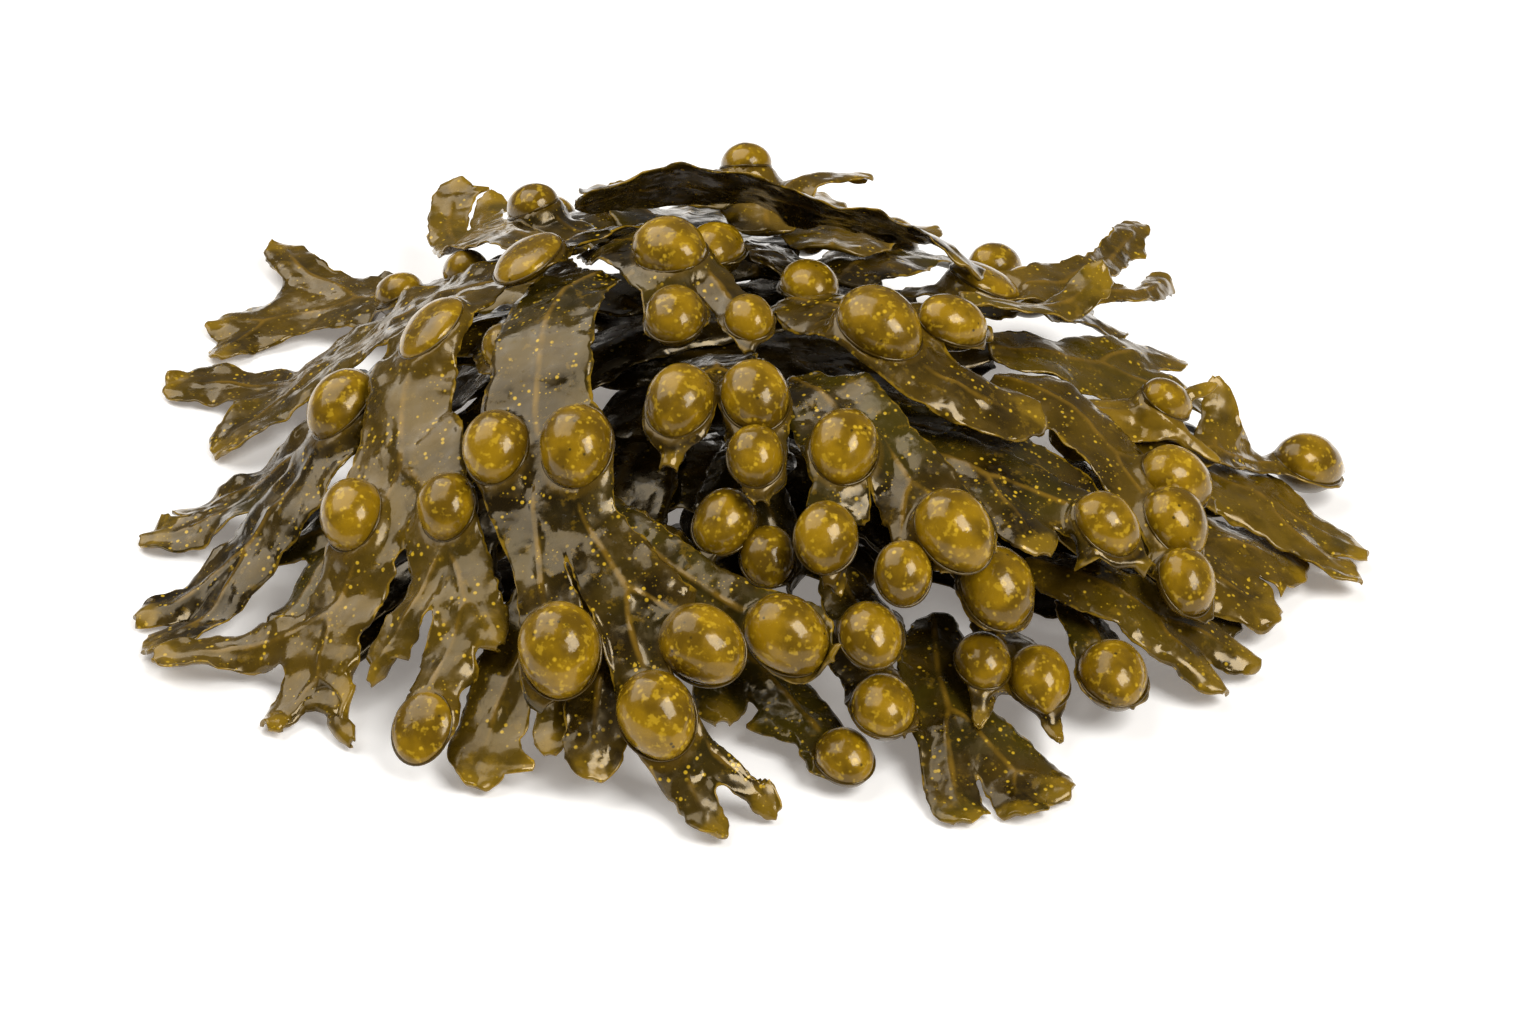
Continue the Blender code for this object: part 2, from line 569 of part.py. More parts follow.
class HeightMap:
    """The highest material laid so far, on a grid of cells over the ground."""

    def __init__(self):
        self.count = int(2 * GRID_HALF / CELL)
        self.top = np.full((self.count, self.count), -GAP)

    def cells_under(self, xy, triangles):
        """For each cell that a triangle touches: cell, triangle, and the weights of its corners there."""
        found = []
        for index, triangle in enumerate(triangles):
            corners = xy[triangle]
            low = np.floor((corners.min(0) + GRID_HALF) / CELL).astype(int) - 1
            high = np.ceil((corners.max(0) + GRID_HALF) / CELL).astype(int) + 1
            grid = np.stack(np.meshgrid(np.arange(low[0], high[0]), np.arange(low[1], high[1]),
                                        indexing="ij"), -1).reshape(-1, 2)
            centre = (grid + 0.5) * CELL - GRID_HALF
            weights, apart = nearest_in_triangle(centre, corners)
            keep = apart <= CELL * 0.71
            rows = np.column_stack([grid[keep], np.full(keep.sum(), index), weights[keep]])
            found.append(rows)
        found = np.vstack(found)
        return found[:, :2].astype(int), found[:, 2].astype(int), found[:, 3:]

    def raise_to(self, xy, height, triangles):
        cells, owner, weights = self.cells_under(xy, triangles)
        corner_heights = height[triangles[owner]]
        here = (weights * corner_heights).sum(1) + slack(xy, height, triangles)[owner]
        here = np.minimum(here, corner_heights.max(1))
        np.maximum.at(self.top, (cells[:, 0], cells[:, 1]), here)


def nearest_in_triangle(points, corners):
    """Weights of the nearest place of a triangle to each point, and how far that is."""
    best = np.full(len(points), np.inf)
    weights = np.zeros((len(points), 3))
    a, b, c = corners
    area = np.cross(b - a, c - a)
    if abs(area) > 1e-9:
        u = np.cross(points - a, c - a) / area
        v = np.cross(b - a, points - a) / area
        inside = (u >= 0) & (v >= 0) & (u + v <= 1)
        weights[inside] = np.column_stack([1 - u - v, u, v])[inside]
        best[inside] = 0.0
    for i, j in ((0, 1), (1, 2), (2, 0)):
        side = corners[j] - corners[i]
        t = np.clip((points - corners[i]) @ side / max(float(side @ side), 1e-12), 0, 1)
        apart = np.linalg.norm(points - corners[i] - t[:, None] * side, axis=1)
        closer = apart < best
        best[closer] = apart[closer]
        weights[closer] = 0.0
        weights[closer, i] = 1 - t[closer]
        weights[closer, j] = t[closer]
    return weights, best


def slack(xy, height, triangles):
    """How much each triangle's plane can rise from the middle of a cell to its corner."""
    a, b, c = (np.column_stack([xy, height])[triangles[:, k]] for k in range(3))
    normal = np.cross(b - a, c - a)
    flatness = np.maximum(np.abs(normal[:, 2]), 1e-6)
    return CELL / 2 * (np.abs(normal[:, 0]) + np.abs(normal[:, 1])) / flatness


class LaidFrond:
    """A frond in its place in the heap."""

    def __init__(self, name, sheet):
        self.name = name
        self.level = sheet.level
        self.xy = np.array(sheet.xy)
        self.faces = sheet.faces
        self.triangles = triangles_of(sheet.faces)
        self.ridge = np.array(sheet.ridge)
        self.height = np.array(sheet.wish)
        thick = BLADE_THICK / 2 * steepness(self.xy, self.height, self.triangles)
        self.below = thick
        self.above = thick * (1 + self.ridge * MIDRIB_RISE / (BLADE_THICK / 2))
        self.bladders = [self.seat(*b) for b in sheet.bladders]

    def seat(self, x, y, size, flat, ahead):
        """A bladder with its axes and the blade's triangle that carries it."""
        axes = bladder_axes(x, y, size, flat, ahead, self.level)
        place = np.array([[x, y]])
        found = [nearest_in_triangle(place, self.xy[t]) for t in self.triangles]
        carrier = int(np.argmin([apart[0] for _, apart in found]))
        rise = axes[:, 2] * (1 - BLADDER_SUNK)
        return {"axes": axes, "corners": self.triangles[carrier], "weights": found[carrier][0][0],
                "xy": place[0] + rise[:2], "rise": rise[2]}

    def bladder_centre(self, bladder):
        return float(bladder["weights"] @ self.height[bladder["corners"]]) + bladder["rise"]


def lay(frond, heights, ball):
    """Lifts a frond clear of what lies below, smoothly where it can, and adds it to the map."""
    ball_points, ball_triangles = ball
    cells, owner, weights = heights.cells_under(frond.xy, frond.triangles)
    ground = heights.top[cells[:, 0], cells[:, 1]] + GAP
    corners = frond.triangles[owner]
    needs = []
    for bladder in frond.bladders:
        shape = ball_points @ bladder["axes"].T
        under, under_owner, under_weights = heights.cells_under(bladder["xy"] + shape[:, :2], ball_triangles)
        corner_heights = shape[ball_triangles[under_owner], 2]
        bottom = (under_weights * corner_heights).sum(1)
        bottom -= slack(shape[:, :2], shape[:, 2], ball_triangles)[under_owner]
        bottom = np.maximum(bottom, corner_heights.min(1))
        needs.append(float((heights.top[under[:, 0], under[:, 1]] + GAP - bottom).max()))
    links = np.array(sorted({(min(a, b), max(a, b)) for t in frond.triangles
                             for a, b in ((t[0], t[1]), (t[1], t[2]), (t[2], t[0]))}))
    degree = np.bincount(links.reshape(-1), minlength=len(frond.xy))
    wish = frond.height.copy()

    def shortfall():
        bottom = frond.height - frond.below
        low = (weights * bottom[corners]).sum(1) - slack(frond.xy, bottom, frond.triangles)[owner]
        low = np.maximum(low, bottom[corners].min(1))
        push = np.zeros(len(frond.xy))
        np.maximum.at(push, corners, np.maximum(ground - low, 0)[:, None])
        for bladder, need in zip(frond.bladders, needs):
            short = need - frond.bladder_centre(bladder)
            if short > 0:
                np.maximum.at(push, bladder["corners"], short)
        return push

    for _ in range(RELAX_STEPS):
        frond.height += shortfall()
        lift = frond.height - wish
        around = np.zeros(len(frond.xy))
        np.add.at(around, links[:, 0], lift[links[:, 1]])
        np.add.at(around, links[:, 1], lift[links[:, 0]])
        lift += GIVE * (around / degree - lift)
        frond.height = wish + lift * SETTLE
    for _ in range(CLEAR_STEPS):
        push = shortfall()
        frond.height += push
        if push.max() < 1e-9:
            break
    heights.raise_to(frond.xy, frond.height + frond.above, frond.triangles)
    for bladder in frond.bladders:
        shape = ball_points @ bladder["axes"].T
        heights.raise_to(bladder["xy"] + shape[:, :2], shape[:, 2] + frond.bladder_centre(bladder),
                         ball_triangles)


def lay_heap(ball):
    """All the fronds in their places, from the bottom up."""
    heights = HeightMap()
    heap = []
    for number, (name, level, stem) in enumerate(FRONDS):
        sheet = Sheet(level, number, ROW_SPACING)
        plant(sheet, stem)
        frond = LaidFrond(name, sheet)
        lay(frond, heights, ball)
        heap.append(frond)
    return heap


def blade_solid(frond):
    """Points and triangles of the closed blade: top, bottom and the walls of its edge."""
    count = len(frond.xy)
    bottom = np.column_stack([frond.xy, frond.height - frond.below])
    top = np.column_stack([frond.xy, frond.height + frond.above])
    directed = {(t[i], t[(i + 1) % 3]) for t in frond.triangles for i in range(3)}
    rim = sorted(edge for edge in directed if edge[::-1] not in directed)
    walls = [(a, b, b + count) for a, b in rim] + [(a, b + count, a + count) for a, b in rim]
    faces = [tuple(t + count) for t in frond.triangles] + [tuple(t[::-1]) for t in frond.triangles] + walls
    return np.vstack([bottom, top]), faces


def heap_middle(heap, ball_points):
    """The middle of the box round the whole heap, on the ground."""
    spots = [frond.xy for frond in heap]
    spots += [b["xy"] + (ball_points @ b["axes"].T)[:, :2] for frond in heap for b in frond.bladders]
    spots = np.vstack(spots)
    return (spots.min(0) + spots.max(0)) / 2


def make_material(name, colour, roughness):
    material = bpy.data.materials.new(name)
    material.use_nodes = True
    shader = material.node_tree.nodes["Principled BSDF"]
    shader.inputs["Base Color"].default_value = (*colour, 1.0)
    shader.inputs["Roughness"].default_value = roughness
    shader.inputs["Metallic"].default_value = 0.0
    material.diffuse_color = (*colour, 1.0)
    return material


def new_collection(name):
    collection = bpy.data.collections.new(name)
    bpy.context.scene.collection.children.link(collection)
    return collection


def blade_object(frond, middle, collection):
    points, faces = blade_solid(frond)
    points = (points - np.array([*middle, 0.0])) * MM
    mesh = bpy.data.meshes.new(frond.name)
    mesh.from_pydata(points.tolist(), [], faces)
    blade = bpy.data.objects.new(frond.name, mesh)
    collection.objects.link(blade)
    return blade


def bladder_objects(frond, middle, collection):
    """Each bladder of a frond as its own ball, stretched and turned to its place."""
    for number, bladder in enumerate(frond.bladders):
        ball = new_ball()
        mesh = bpy.data.meshes.new(f"{frond.name}_bladder_{number}")
        centre = Vector((*(bladder["xy"] - middle), frond.bladder_centre(bladder))) * MM
        turned = Matrix.Translation(centre) @ Matrix((bladder["axes"] * MM).tolist()).to_4x4()
        ball.transform(turned)
        ball.to_mesh(mesh)
        ball.free()
        collection.objects.link(bpy.data.objects.new(mesh.name, mesh))


def fuse_bladders(blade, frond, middle, helpers):
    """Joins the bladders to the blade in one solid."""
    group = bpy.data.collections.new(f"{frond.name}_bladders")
    helpers.children.link(group)
    bladder_objects(frond, middle, group)
    union = blade.modifiers.new("bladders", "BOOLEAN")
    union.operation = "UNION"
    union.operand_type = "COLLECTION"
    union.collection = group
    union.solver = "EXACT"
    graph = bpy.context.evaluated_depsgraph_get()
    joined = bpy.data.meshes.new_from_object(blade.evaluated_get(graph))
    joined.name = frond.name
    blade.modifiers.clear()
    blade.data = joined
    for ball in list(group.objects):
        bpy.data.objects.remove(ball)
    bpy.data.collections.remove(group)


def finish(blade, number):
    """Smooth shading with sharp edges kept, and an olive that varies a little from frond to frond."""
    blade.data.shade_smooth()
    blade.data.set_sharp_from_angle(angle=math.radians(50))
    shade = 0.5 + 0.5 * math.sin(number * 2.4)
    colour = (0.055 + 0.035 * shade, 0.045 + 0.025 * shade, 0.012 + 0.006 * shade)
    blade.data.materials.clear()
    blade.data.materials.append(make_material(blade.name, colour, 0.25))


def main():
    for old in list(bpy.data.objects):
        bpy.data.objects.remove(old)
    parts = new_collection("bladderwrack")
    helpers = new_collection("helpers")
    ball = ball_shape()
    heap = lay_heap(ball)
    middle = heap_middle(heap, ball[0])
    for number, frond in enumerate(heap):
        blade = blade_object(frond, middle, parts)
        if frond.bladders:
            fuse_bladders(blade, frond, middle, helpers)
        finish(blade, number)
    bpy.data.collections.remove(helpers)


main()
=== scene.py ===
"""Bladderwrack: the fine surface of every frond and bladder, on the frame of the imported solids.

The fronds are laid out by the same rules and the same table as the solids. Each one is then made again as
a thin, smooth, waved blade with its midrib, and its bladders as smooth ovals that the blade surrounds.
Lengths in the layout are millimetres, and meshes are made in metres.
"""

import math

import bmesh
import bpy
import numpy as np
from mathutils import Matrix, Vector, noise


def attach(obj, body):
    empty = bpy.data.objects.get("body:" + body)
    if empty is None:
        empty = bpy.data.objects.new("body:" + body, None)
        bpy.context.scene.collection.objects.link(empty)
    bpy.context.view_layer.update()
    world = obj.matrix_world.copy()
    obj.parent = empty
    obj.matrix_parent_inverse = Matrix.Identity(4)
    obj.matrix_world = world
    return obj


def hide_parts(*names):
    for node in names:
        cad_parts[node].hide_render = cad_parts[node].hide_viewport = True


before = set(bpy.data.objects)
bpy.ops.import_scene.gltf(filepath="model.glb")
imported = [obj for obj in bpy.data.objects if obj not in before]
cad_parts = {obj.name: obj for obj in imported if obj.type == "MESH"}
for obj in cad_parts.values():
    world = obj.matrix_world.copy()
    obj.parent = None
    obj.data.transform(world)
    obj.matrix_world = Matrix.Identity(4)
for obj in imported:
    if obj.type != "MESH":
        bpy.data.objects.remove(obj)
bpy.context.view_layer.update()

MM = 0.001

# The heap: its height in the middle, how far it spreads, and how high its rim lies
HEAP_HEIGHT = 50.0
HEAP_HALF_WIDTH = 98.0
HEAP_FRONT = 88.0
HEAP_REAR = 100.0
HEAP_CENTRE_Y = 8.0
HEAP_SHOULDER = 1.15
RIM_HEIGHT = 0.7

# The blade as the solids have it: thickness and midrib, rows, edge waves and cuts, forks, tips and root
BLADE_THICK = 0.8
MIDRIB_RISE = 0.7
MOST_STEEP = 2.4
ROW_SPACING = 9.0
ROUTE_STEP = 0.5
WAVE_HEIGHT = 0.9
WAVE_LENGTH = 17.0
PHASE_STEP = 2.4
EDGE_CUT = 0.09
EDGE_CUT_LENGTH = 13.0
FORK_SWELL = 1.2
FORK_LEAD = 0.2
FORK_BACK = 4
FORK_NARROWEST = 0.2
FORK_FROM_TO = (0.6, 1.4)
FORK_MOST = 0.55
TIP_TAPER = 0.92
TIP_END = 0.62
TIP_SHOULDER = 0.34
TIP_NOTCH = 0.12
ROOT_TAPER = 0.6

# The bladders against their width: length, depth, how far they sink in, the blade round them and facets
BLADDER_LONG = 1.2
BLADDER_DEEP = 0.92
BLADDER_SUNK = 0.72
BLADDER_RIM = 1.1
BLADDER_SIDES = 8
BLADDER_RINGS = 5
BLADDER_FULLER = 1.04
FLAT_BLADDER_DEEP = 0.42

# Laying: a grid of heights, half a cell's diagonal, the gap left between fronds, and how a blade gives
CELL = 0.5
HALF_DIAGONAL = 0.71
GRID_HALF = 140.0
GAP = 0.32
RELAX_STEPS = 36
GIVE = 0.5
SETTLE = 0.985
CLEAR_STEPS = 12
CLEAR_ENOUGH = 1e-9


def branch(width, route, *forks, bladders=(), flat_bladders=(), roll=0.0):
    """One length of blade. Route points are (x, y) or (x, y, lift), bladders (x, y, size).

    A fork is a branch too, or only (width, point, point, ...) if it is plain.
    """
    return {
        "width": width,
        "route": [tuple(p) + (0.0,) * (3 - len(p)) for p in route],
        "forks": tuple(branch(f[0], f[1:]) if isinstance(f, tuple) else f for f in forks),
        "bladders": [b + (False,) for b in bladders] + [b + (True,) for b in flat_bladders],
        "roll": roll,
    }


# The fronds from the bottom up: name after frond_, height in the heap (0 floor, 1 top) and branches
FRONDS = [
    ("base", 0.0, branch(15, [(-50, -12), (-26, -4), (-2, 1), (20, 4)],
        (12, (36, -8), (56, -18)), (12, (38, 18), (58, 26)))),
    ("front_end_low", 0.2, branch(12, [(-6, -32), (-3, -41)],
        (9, (-6, -49), (-5, -57)), branch(10, [(4, -50), (10, -59), (14, -69)], bladders=[(14, -65, 9)]))),
    ("front_ends", 0.2, branch(9, [(10, -34), (16, -46), (20, -56), (22, -67)], bladders=[(20, -61, 10)])),
    ("inner_rear", 0.15, branch(18, [(-4, -18), (-2, 14), (0, 44), (2, 58)],
        (13, (-14, 76), (-20, 92)), (13, (14, 76), (20, 93)))),
    ("inner_left", 0.3, branch(18, [(14, 10), (-20, 0), (-48, -8)],
        (13, (-64, -2), (-82, 0)), (13, (-60, -24), (-72, -38)))),
    ("inner_right", 0.3, branch(18, [(0, 10, -4), (26, 2), (50, -4)],
        (13, (68, -20), (80, -30)), (13, (68, 6), (84, 12)))),
    ("inner_centre", 0.45, branch(17, [(-24, -12), (-4, -10), (14, -12)],
        (13, (30, -8), (42, 0)), (12, (23, -22), (27, -28)))),
    ("inner_front", 0.5, branch(16, [(-16, 14), (-19, 2), (-22, -12), (-24, -24)],
        (12, (-34, -36), (-38, -46)), (12, (-15, -35), (-13, -43)))),
    ("inner_front_left", 0.4, branch(15, [(-30, 2), (-41, -9), (-50, -19)],
        (12, (-62, -26), (-69, -34)), (11, (-46, -34), (-45, -43)))),
    ("inner_front_right", 0.35, branch(15, [(-2, -4), (3, -15), (5, -24)],
        (12, (-3, -34), (-5, -41)), (11, (14, -31), (17, -37)))),
    ("inner_right_front", 0.4, branch(16, [(22, 6), (36, -8), (45, -15)],
        (13, (59, -18), (70, -22)), (12, (45, -24), (46, -29)))),
    ("inner_crown", 0.6, branch(17, [(-28, 16), (-6, 14), (14, 10)],
        (13, (30, 18), (40, 28)), (13, (28, -2), (38, -10)))),
    ("inner_crown_rear", 0.66, branch(17, [(28, 40), (8, 34), (-10, 28)],
        (12, (-26, 35), (-38, 44)), (14, (-26, 15), (-34, 3)))),
    ("inner_left_rear", 0.4, branch(15, [(-30, 14), (-46, 18), (-58, 26)],
        (11, (-70, 36), (-80, 46)), (11, (-70, 20), (-84, 20)))),
    ("low_rear_left", 0.5, branch(13, [(-20, 26, -6), (-38, 46), (-54, 66)],
        (10, (-66, 82), (-74, 94)), (10, (-50, 82), (-48, 96)))),
    ("low_rear_right", 0.5, branch(13, [(24, 16, -6), (46, 22), (62, 26)],
        (10, (74, 20), (84, 20)), (10, (68, 38), (72, 48)))),
    ("left_under", 0.55, branch(13, [(-36, 4, -8), (-52, -7, -3), (-66, -15)],
        (8, (-79, -13), (-90, -12)), (8, (-74, -25), (-79, -34)))),
    ("front_low_left", 0.6, branch(13, [(-18, -24, -6), (-28, -36, -2), (-34, -46)],
        (12, (-40, -56), (-44, -70)), (8, (-31, -57), (-32, -67)))),
    ("front_strip", 0.65, branch(10, [(-12, -30, -6), (-19, -42, -2), (-23, -53), (-25, -64), (-25, -73)])),
    ("hollow", 0.75, branch(12, [(2, -6, -12), (0, -17, -8), (-2, -25, -6)],
        branch(9, [(-7, -36, -5), (-9, -43, -7)], bladders=[(-5, -34, 10)]),
        branch(9, [(4, -34, -9), (5, -43, -10)], bladders=[(2, -38, 9)]))),
    ("rear_left_tips", 0.9, branch(16, [(-34, 38, -8), (-50, 58, 0), (-66, 73, 2), (-76, 79, 2)],
        (9, (-87, 90, 2), (-94, 104, 2)),
        branch(15, [(-88, 79), (-95, 75)], (10, (-105, 76)), (9, (-101, 62))),
        bladders=[(-66, 66, 9), (-53, 60, 8)])),
    ("left_broad", 0.8, branch(17, [(-38, 36, -8), (-56, 42, -1), (-72, 45), (-81, 46)],
        (13, (-96, 52), (-110, 53)), (15, (-89, 38), (-96, 27)))),
    ("left_upper", 0.75, branch(14, [(-42, 20, -7), (-60, 15, -1), (-76, 9), (-86, 6)],
        (8, (-95, 9), (-102, 10)), (9, (-97, 2), (-107, 2)))),
    ("right_low", 0.5, branch(18, [(44, -8, -5), (57, -13, -2), (71, -17)],
        (14, (84, -11), (94, -12)), (13, (80, -23), (88, -25)))),
    ("right_tips", 0.55, branch(17, [(50, 7, -4), (63, 5, -2), (78, 3), (88, 1)],
        (10, (97, -2), (105, -5)), (9, (96, -10), (102, -15)))),
    ("right_terminal", 0.65, branch(8, [(58, 2, -6), (68, 1, -1), (78, 4)],
        branch(6, [(87, 11), (96, 16), (103, 18)], bladders=[(96, 16, 11)]), (7, (80, 12, 5), (79, 17, 12)))),
    ("shadow", 0.4, branch(9, [(13, -36, -4), (15, -43, -3), (18, -49, -2), (20, -58)],
        bladders=[(18, -54, 10)])),
    ("front_fan", 0.35, branch(9, [(29, -33, -3), (29, -44, -1), (30, -56)],
        (8, (31, -67), (32, -78)), branch(9, [(36, -62), (42, -67)], (8, (40, -77)), (8, (50, -70))))),
    ("front_right_pair", 0.3, branch(10, [(37, -34, -3), (40, -42, -1), (41, -48)],
        (8, (36, -54), (35, -61)), (8, (46, -54), (48, -61)), bladders=[(36, -50, 9), (45, -50, 10)])),
    ("front_right_end", 0.2, branch(10, [(51, -30), (54, -37), (57, -46), (58, -55)],
        bladders=[(57, -48, 11)])),
    ("right_lying", 0.65, branch(12, [(44, -28, -9), (54, -33, -3), (66, -37)],
        (8, (74, -36), (83, -37)), (7, (71, -42), (76, -46)))),
    ("left", 0.93, branch(14, [(-40, 24, -6), (-55, 19, -1), (-67, 8), (-74, -4), (-85, -14)],
        (9, (-95, -19), (-104, -23)), (9, (-92, -25), (-101, -33)), bladders=[(-69, 3, 12)])),
    ("rear_left_raised", 1.0, branch(12, [(-32, 40, -7), (-44, 56, 0), (-54, 75, 5)],
        (9, (-59, 90, 11), (-58, 104, 16)), (8, (-52, 88, 11), (-50, 99, 15)))),
    ("rear_left", 0.78, branch(15, [(-18, 42, -8), (-24, 52, -3), (-30, 64, -1)],
        branch(12, [(-38, 78), (-41, 88)], bladders=[(-39, 80, 11)]),
        branch(11, [(-24, 78), (-22, 92)], bladders=[(-24, 86, 10)]))),
    ("rear", 0.75, branch(15, [(0, 38, -8), (-1, 51, -2), (0, 64)],
        branch(12, [(-9, 80), (-11, 97)], bladders=[(-9, 80, 11)]),
        branch(11, [(9, 80), (10, 95)], bladders=[(9, 85, 10)]))),
    ("rear_right", 0.75, branch(15, [(14, 36, -8), (21, 47, -2), (28, 60)],
        branch(12, [(25, 77), (27, 93)], bladders=[(25, 76, 10)]),
        branch(12, [(41, 70), (48, 82)], bladders=[(44, 71, 10)]))),
    ("right_rear_lying", 0.8, branch(14, [(32, 26, -6), (42, 36, -1), (52, 46)],
        (11, (56, 58), (59, 70)), (10, (62, 48), (67, 50)), bladders=[(48, 42, 10)])),
    ("right_broad", 0.93, branch(15, [(40, 15, -7), (49, 17, -5), (60, 21, -3)],
        (10, (68, 30, 1), (76, 35, 3)), (10, (71, 21, -1), (80, 24, 1)))),
    ("golden_tips", 0.85, branch(10, [(48, 4, -10), (57, 3, -6), (66, 4, -4)],
        (6, (72, 9, 1), (79, 13, 5)), (7, (72, 1, -1), (79, -1)), bladders=[(69, 6, 8)])),
    ("under_bladder", 0.8, branch(11, [(30, -22, -14), (35, -33, -8), (39, -50, -3)],
        bladders=[(38, -43, 12)])),
    ("curved_edge", 0.85, branch(16, [(20, -4, -12), (32, -13, -6), (42, -18, -1), (51, -24), (55, -32)])),
    ("right_chain", 0.9, branch(13, [(40, 4, -9), (50, -1, -6), (60, -10, -4)],
        branch(10, [(65, -20, -3), (69, -29, -2), (71, -40)], bladders=[(68, -22, 11), (69, -34, 10)]),
        branch(9, [(68, -12, -2), (77, -12)], bladders=[(69, -12, 11)]))),
    ("right_fan", 0.85, branch(14, [(22, -14, -12), (30, -21, -8), (38, -26, -5)],
        (11, (42, -34, -3), (46, -42)),
        branch(11, [(48, -28, -4), (56, -32, -3), (64, -37)], bladders=[(56, -32, 10)]))),
    ("hollow_bladders", 1.0, branch(10, [(6, 44, -14), (3, 36, -11)],
        branch(9, [(-5, 27, -7), (-8, 15, -3)], bladders=[(-7, 21, 10)]),
        branch(8, [(8, 27, -12), (11, 16, -11)], bladders=[(9, 21, 10)]))),
    ("left_crinkled", 1.0, branch(13, [(-28, 22, -12), (-37, 18, -8), (-44, 13, -4)],
        (13, (-53, 9, -2), (-62, 3)), branch(10, [(-43, 3, -2), (-41, -10)], bladders=[(-41, -2, 8)]))),
    ("long_strip", 0.9, branch(9, [(-27, -26, -9), (-22, -34, -7), (-15, -41, -6), (-6, -47, -8),
        (4, -53, -9), (13, -60, -5)], bladders=[(5, -54, 12)])),
    ("left_front", 1.0, branch(16, [(-44, 22, -4), (-53, 10), (-58, -6), (-57, -20)],
        branch(13, [(-64, -31), (-69, -38)],
            (9, (-81, -36), (-90, -36), (-99, -36)),
            branch(12, [(-70, -46)], (10, (-79, -53)), (9, (-64, -58)))),
        branch(12, [(-51, -31), (-49, -37)],
            (8, (-56, -44), (-62, -50)),
            branch(11, [(-45, -46)],
                branch(10, [(-50, -55), (-53, -66)], flat_bladders=[(-52, -62, 10)]), (7, (-40, -53)))),
        bladders=[(-65, -24, 11), (-49, -30, 10)], flat_bladders=[(-54, 5, 12)])),
    ("front_left", 1.0, branch(16, [(-26, 12, -6), (-33, 0, -1), (-35, -16), (-35, -31)],
        branch(10, [(-34, -44), (-31, -65)], bladders=[(-30, -58, 13)]),
        branch(12, [(-26, -42), (-20, -50)],
            branch(10, [(-18, -59, 1), (-12, -70, 2)],
                (7, (-9, -76), (-5, -82, -1)), (7, (-4, -72), (4, -76, -3)), bladders=[(-15, -67, 12)]),
            branch(10, [(-13, -54), (-3, -61)], bladders=[(-8, -58, 12)])),
        bladders=[(-41, -27, 11), (-28, -30, 12)])),
    ("centre_right", 1.0, branch(14, [(6, -8, -11), (10, -15, -7), (15, -22, -4)],
        branch(10, [(14, -32, -1), (12, -50, -3)], bladders=[(14, -30, 11), (11, -43, 10)]),
        branch(12, [(22, -29, -5), (25, -35, -6)],
            branch(8, [(23, -43, -9), (22, -52, -11)], bladders=[(23, -48, 9)]),
            branch(11, [(31, -40, -5), (37, -46, -5)], bladders=[(31, -43, 12)])))),
    ("broad_blade", 1.0, branch(15, [(4, 12, -9), (12, 5, -4), (20, -3, -1)],
        (14, (28, -12), (38, -15), (48, -12)), branch(9, [(29, 1), (35, 2), (40, 4)], bladders=[(32, 0, 10)]),
        bladders=[(20, -5, 13)])),
    ("centre", 1.0, branch(12, [(-8, 4, -15), (-7, -5, -9), (-6, -12, -4)],
        branch(10, [(-11, -20, -1), (-14, -32, -2)], bladders=[(-12, -22, 11)]),
        branch(10, [(-1, -20, -3), (1, -38, -3)], bladders=[(0, -21, 11), (0, -31, 9)]))),
    ("crown", 1.0, branch(13, [(-28, 30, -9), (-22, 21, -6), (-16, 11, -5)],
        branch(8, [(-14, 2, -6), (-13, -9, -6)], bladders=[(-13, -4, 10)]),
        branch(7, [(-6, 3, -5), (-1, -13, -5)], bladders=[(-1, -6, 8)]), bladders=[(-14, 11, 12)])),
    ("crown_left", 1.0, branch(11, [(-18, 38, -10), (-25, 33, -8)],
        branch(8, [(-33, 38, -4), (-38, 43, 2), (-42, 48, 5)], bladders=[(-39, 44, 9)]),
        branch(9, [(-31, 26, -9), (-36, 18, -9), (-40, 8, -7)], flat_bladders=[(-38, 13, 12)]))),
    ("right_curl", 1.0, branch(8, [(34, 8, -8), (44, 10, -4), (52, 14, 0), (57, 19, 6), (60, 23, 12)])),
    ("right_raised", 1.0, branch(10, [(26, 28, -10), (32, 24, -5), (42, 24), (54, 30, 4)],
        (7, (62, 44, 10), (70, 66, 21)), (6, (67, 37, 8), (74, 51, 14)), flat_bladders=[(39, 24, 11)])),
    ("rear_mid_left", 0.8, branch(17, [(-12, 44, -8), (-15, 56, -4)],
        (11, (-24, 64, -3), (-29, 76)), (10, (-12, 68, -2), (-10, 80)))),
    ("rear_mid_right", 0.8, branch(17, [(13, 42, -8), (15, 55, -4)],
        (10, (11, 67, 1), (12, 78, 4)), (10, (24, 64, -3), (33, 73)))),
    ("crown_rear", 1.0, branch(15, [(2, 42, -9), (1, 52, -2)],
        branch(9, [(-2, 61, 5), (-5, 69, 7)], bladders=[(-2, 62, 9)]), (10, (10, 58, 4), (21, 62, 6)))),
    ("crown_tips", 1.0, branch(9, [(-4, 46, -8), (-10, 50, -3)],
        (6, (-18, 53, 1), (-27, 58, 5)), (6, (-14, 57, 1), (-16, 64, 4)))),
    ("arch", 1.0, branch(17, [(-31, 36, -8), (-21, 39, -7), (-8, 39, -6), (8, 35, -7), (21, 30, -7),
        (30, 22, -7), (37, 11, -8)], roll=-0.95)),
]


def heap_height(x, y):
    """Height of the heap's surface over a point of the ground."""
    reach = np.where(np.asarray(y) > HEAP_CENTRE_Y, HEAP_REAR, HEAP_FRONT)
    spread = (x / HEAP_HALF_WIDTH) ** 2 + ((y - HEAP_CENTRE_Y) / reach) ** 2
    return HEAP_HEIGHT * np.clip(1.0 - spread, 0.0, None) ** HEAP_SHOULDER


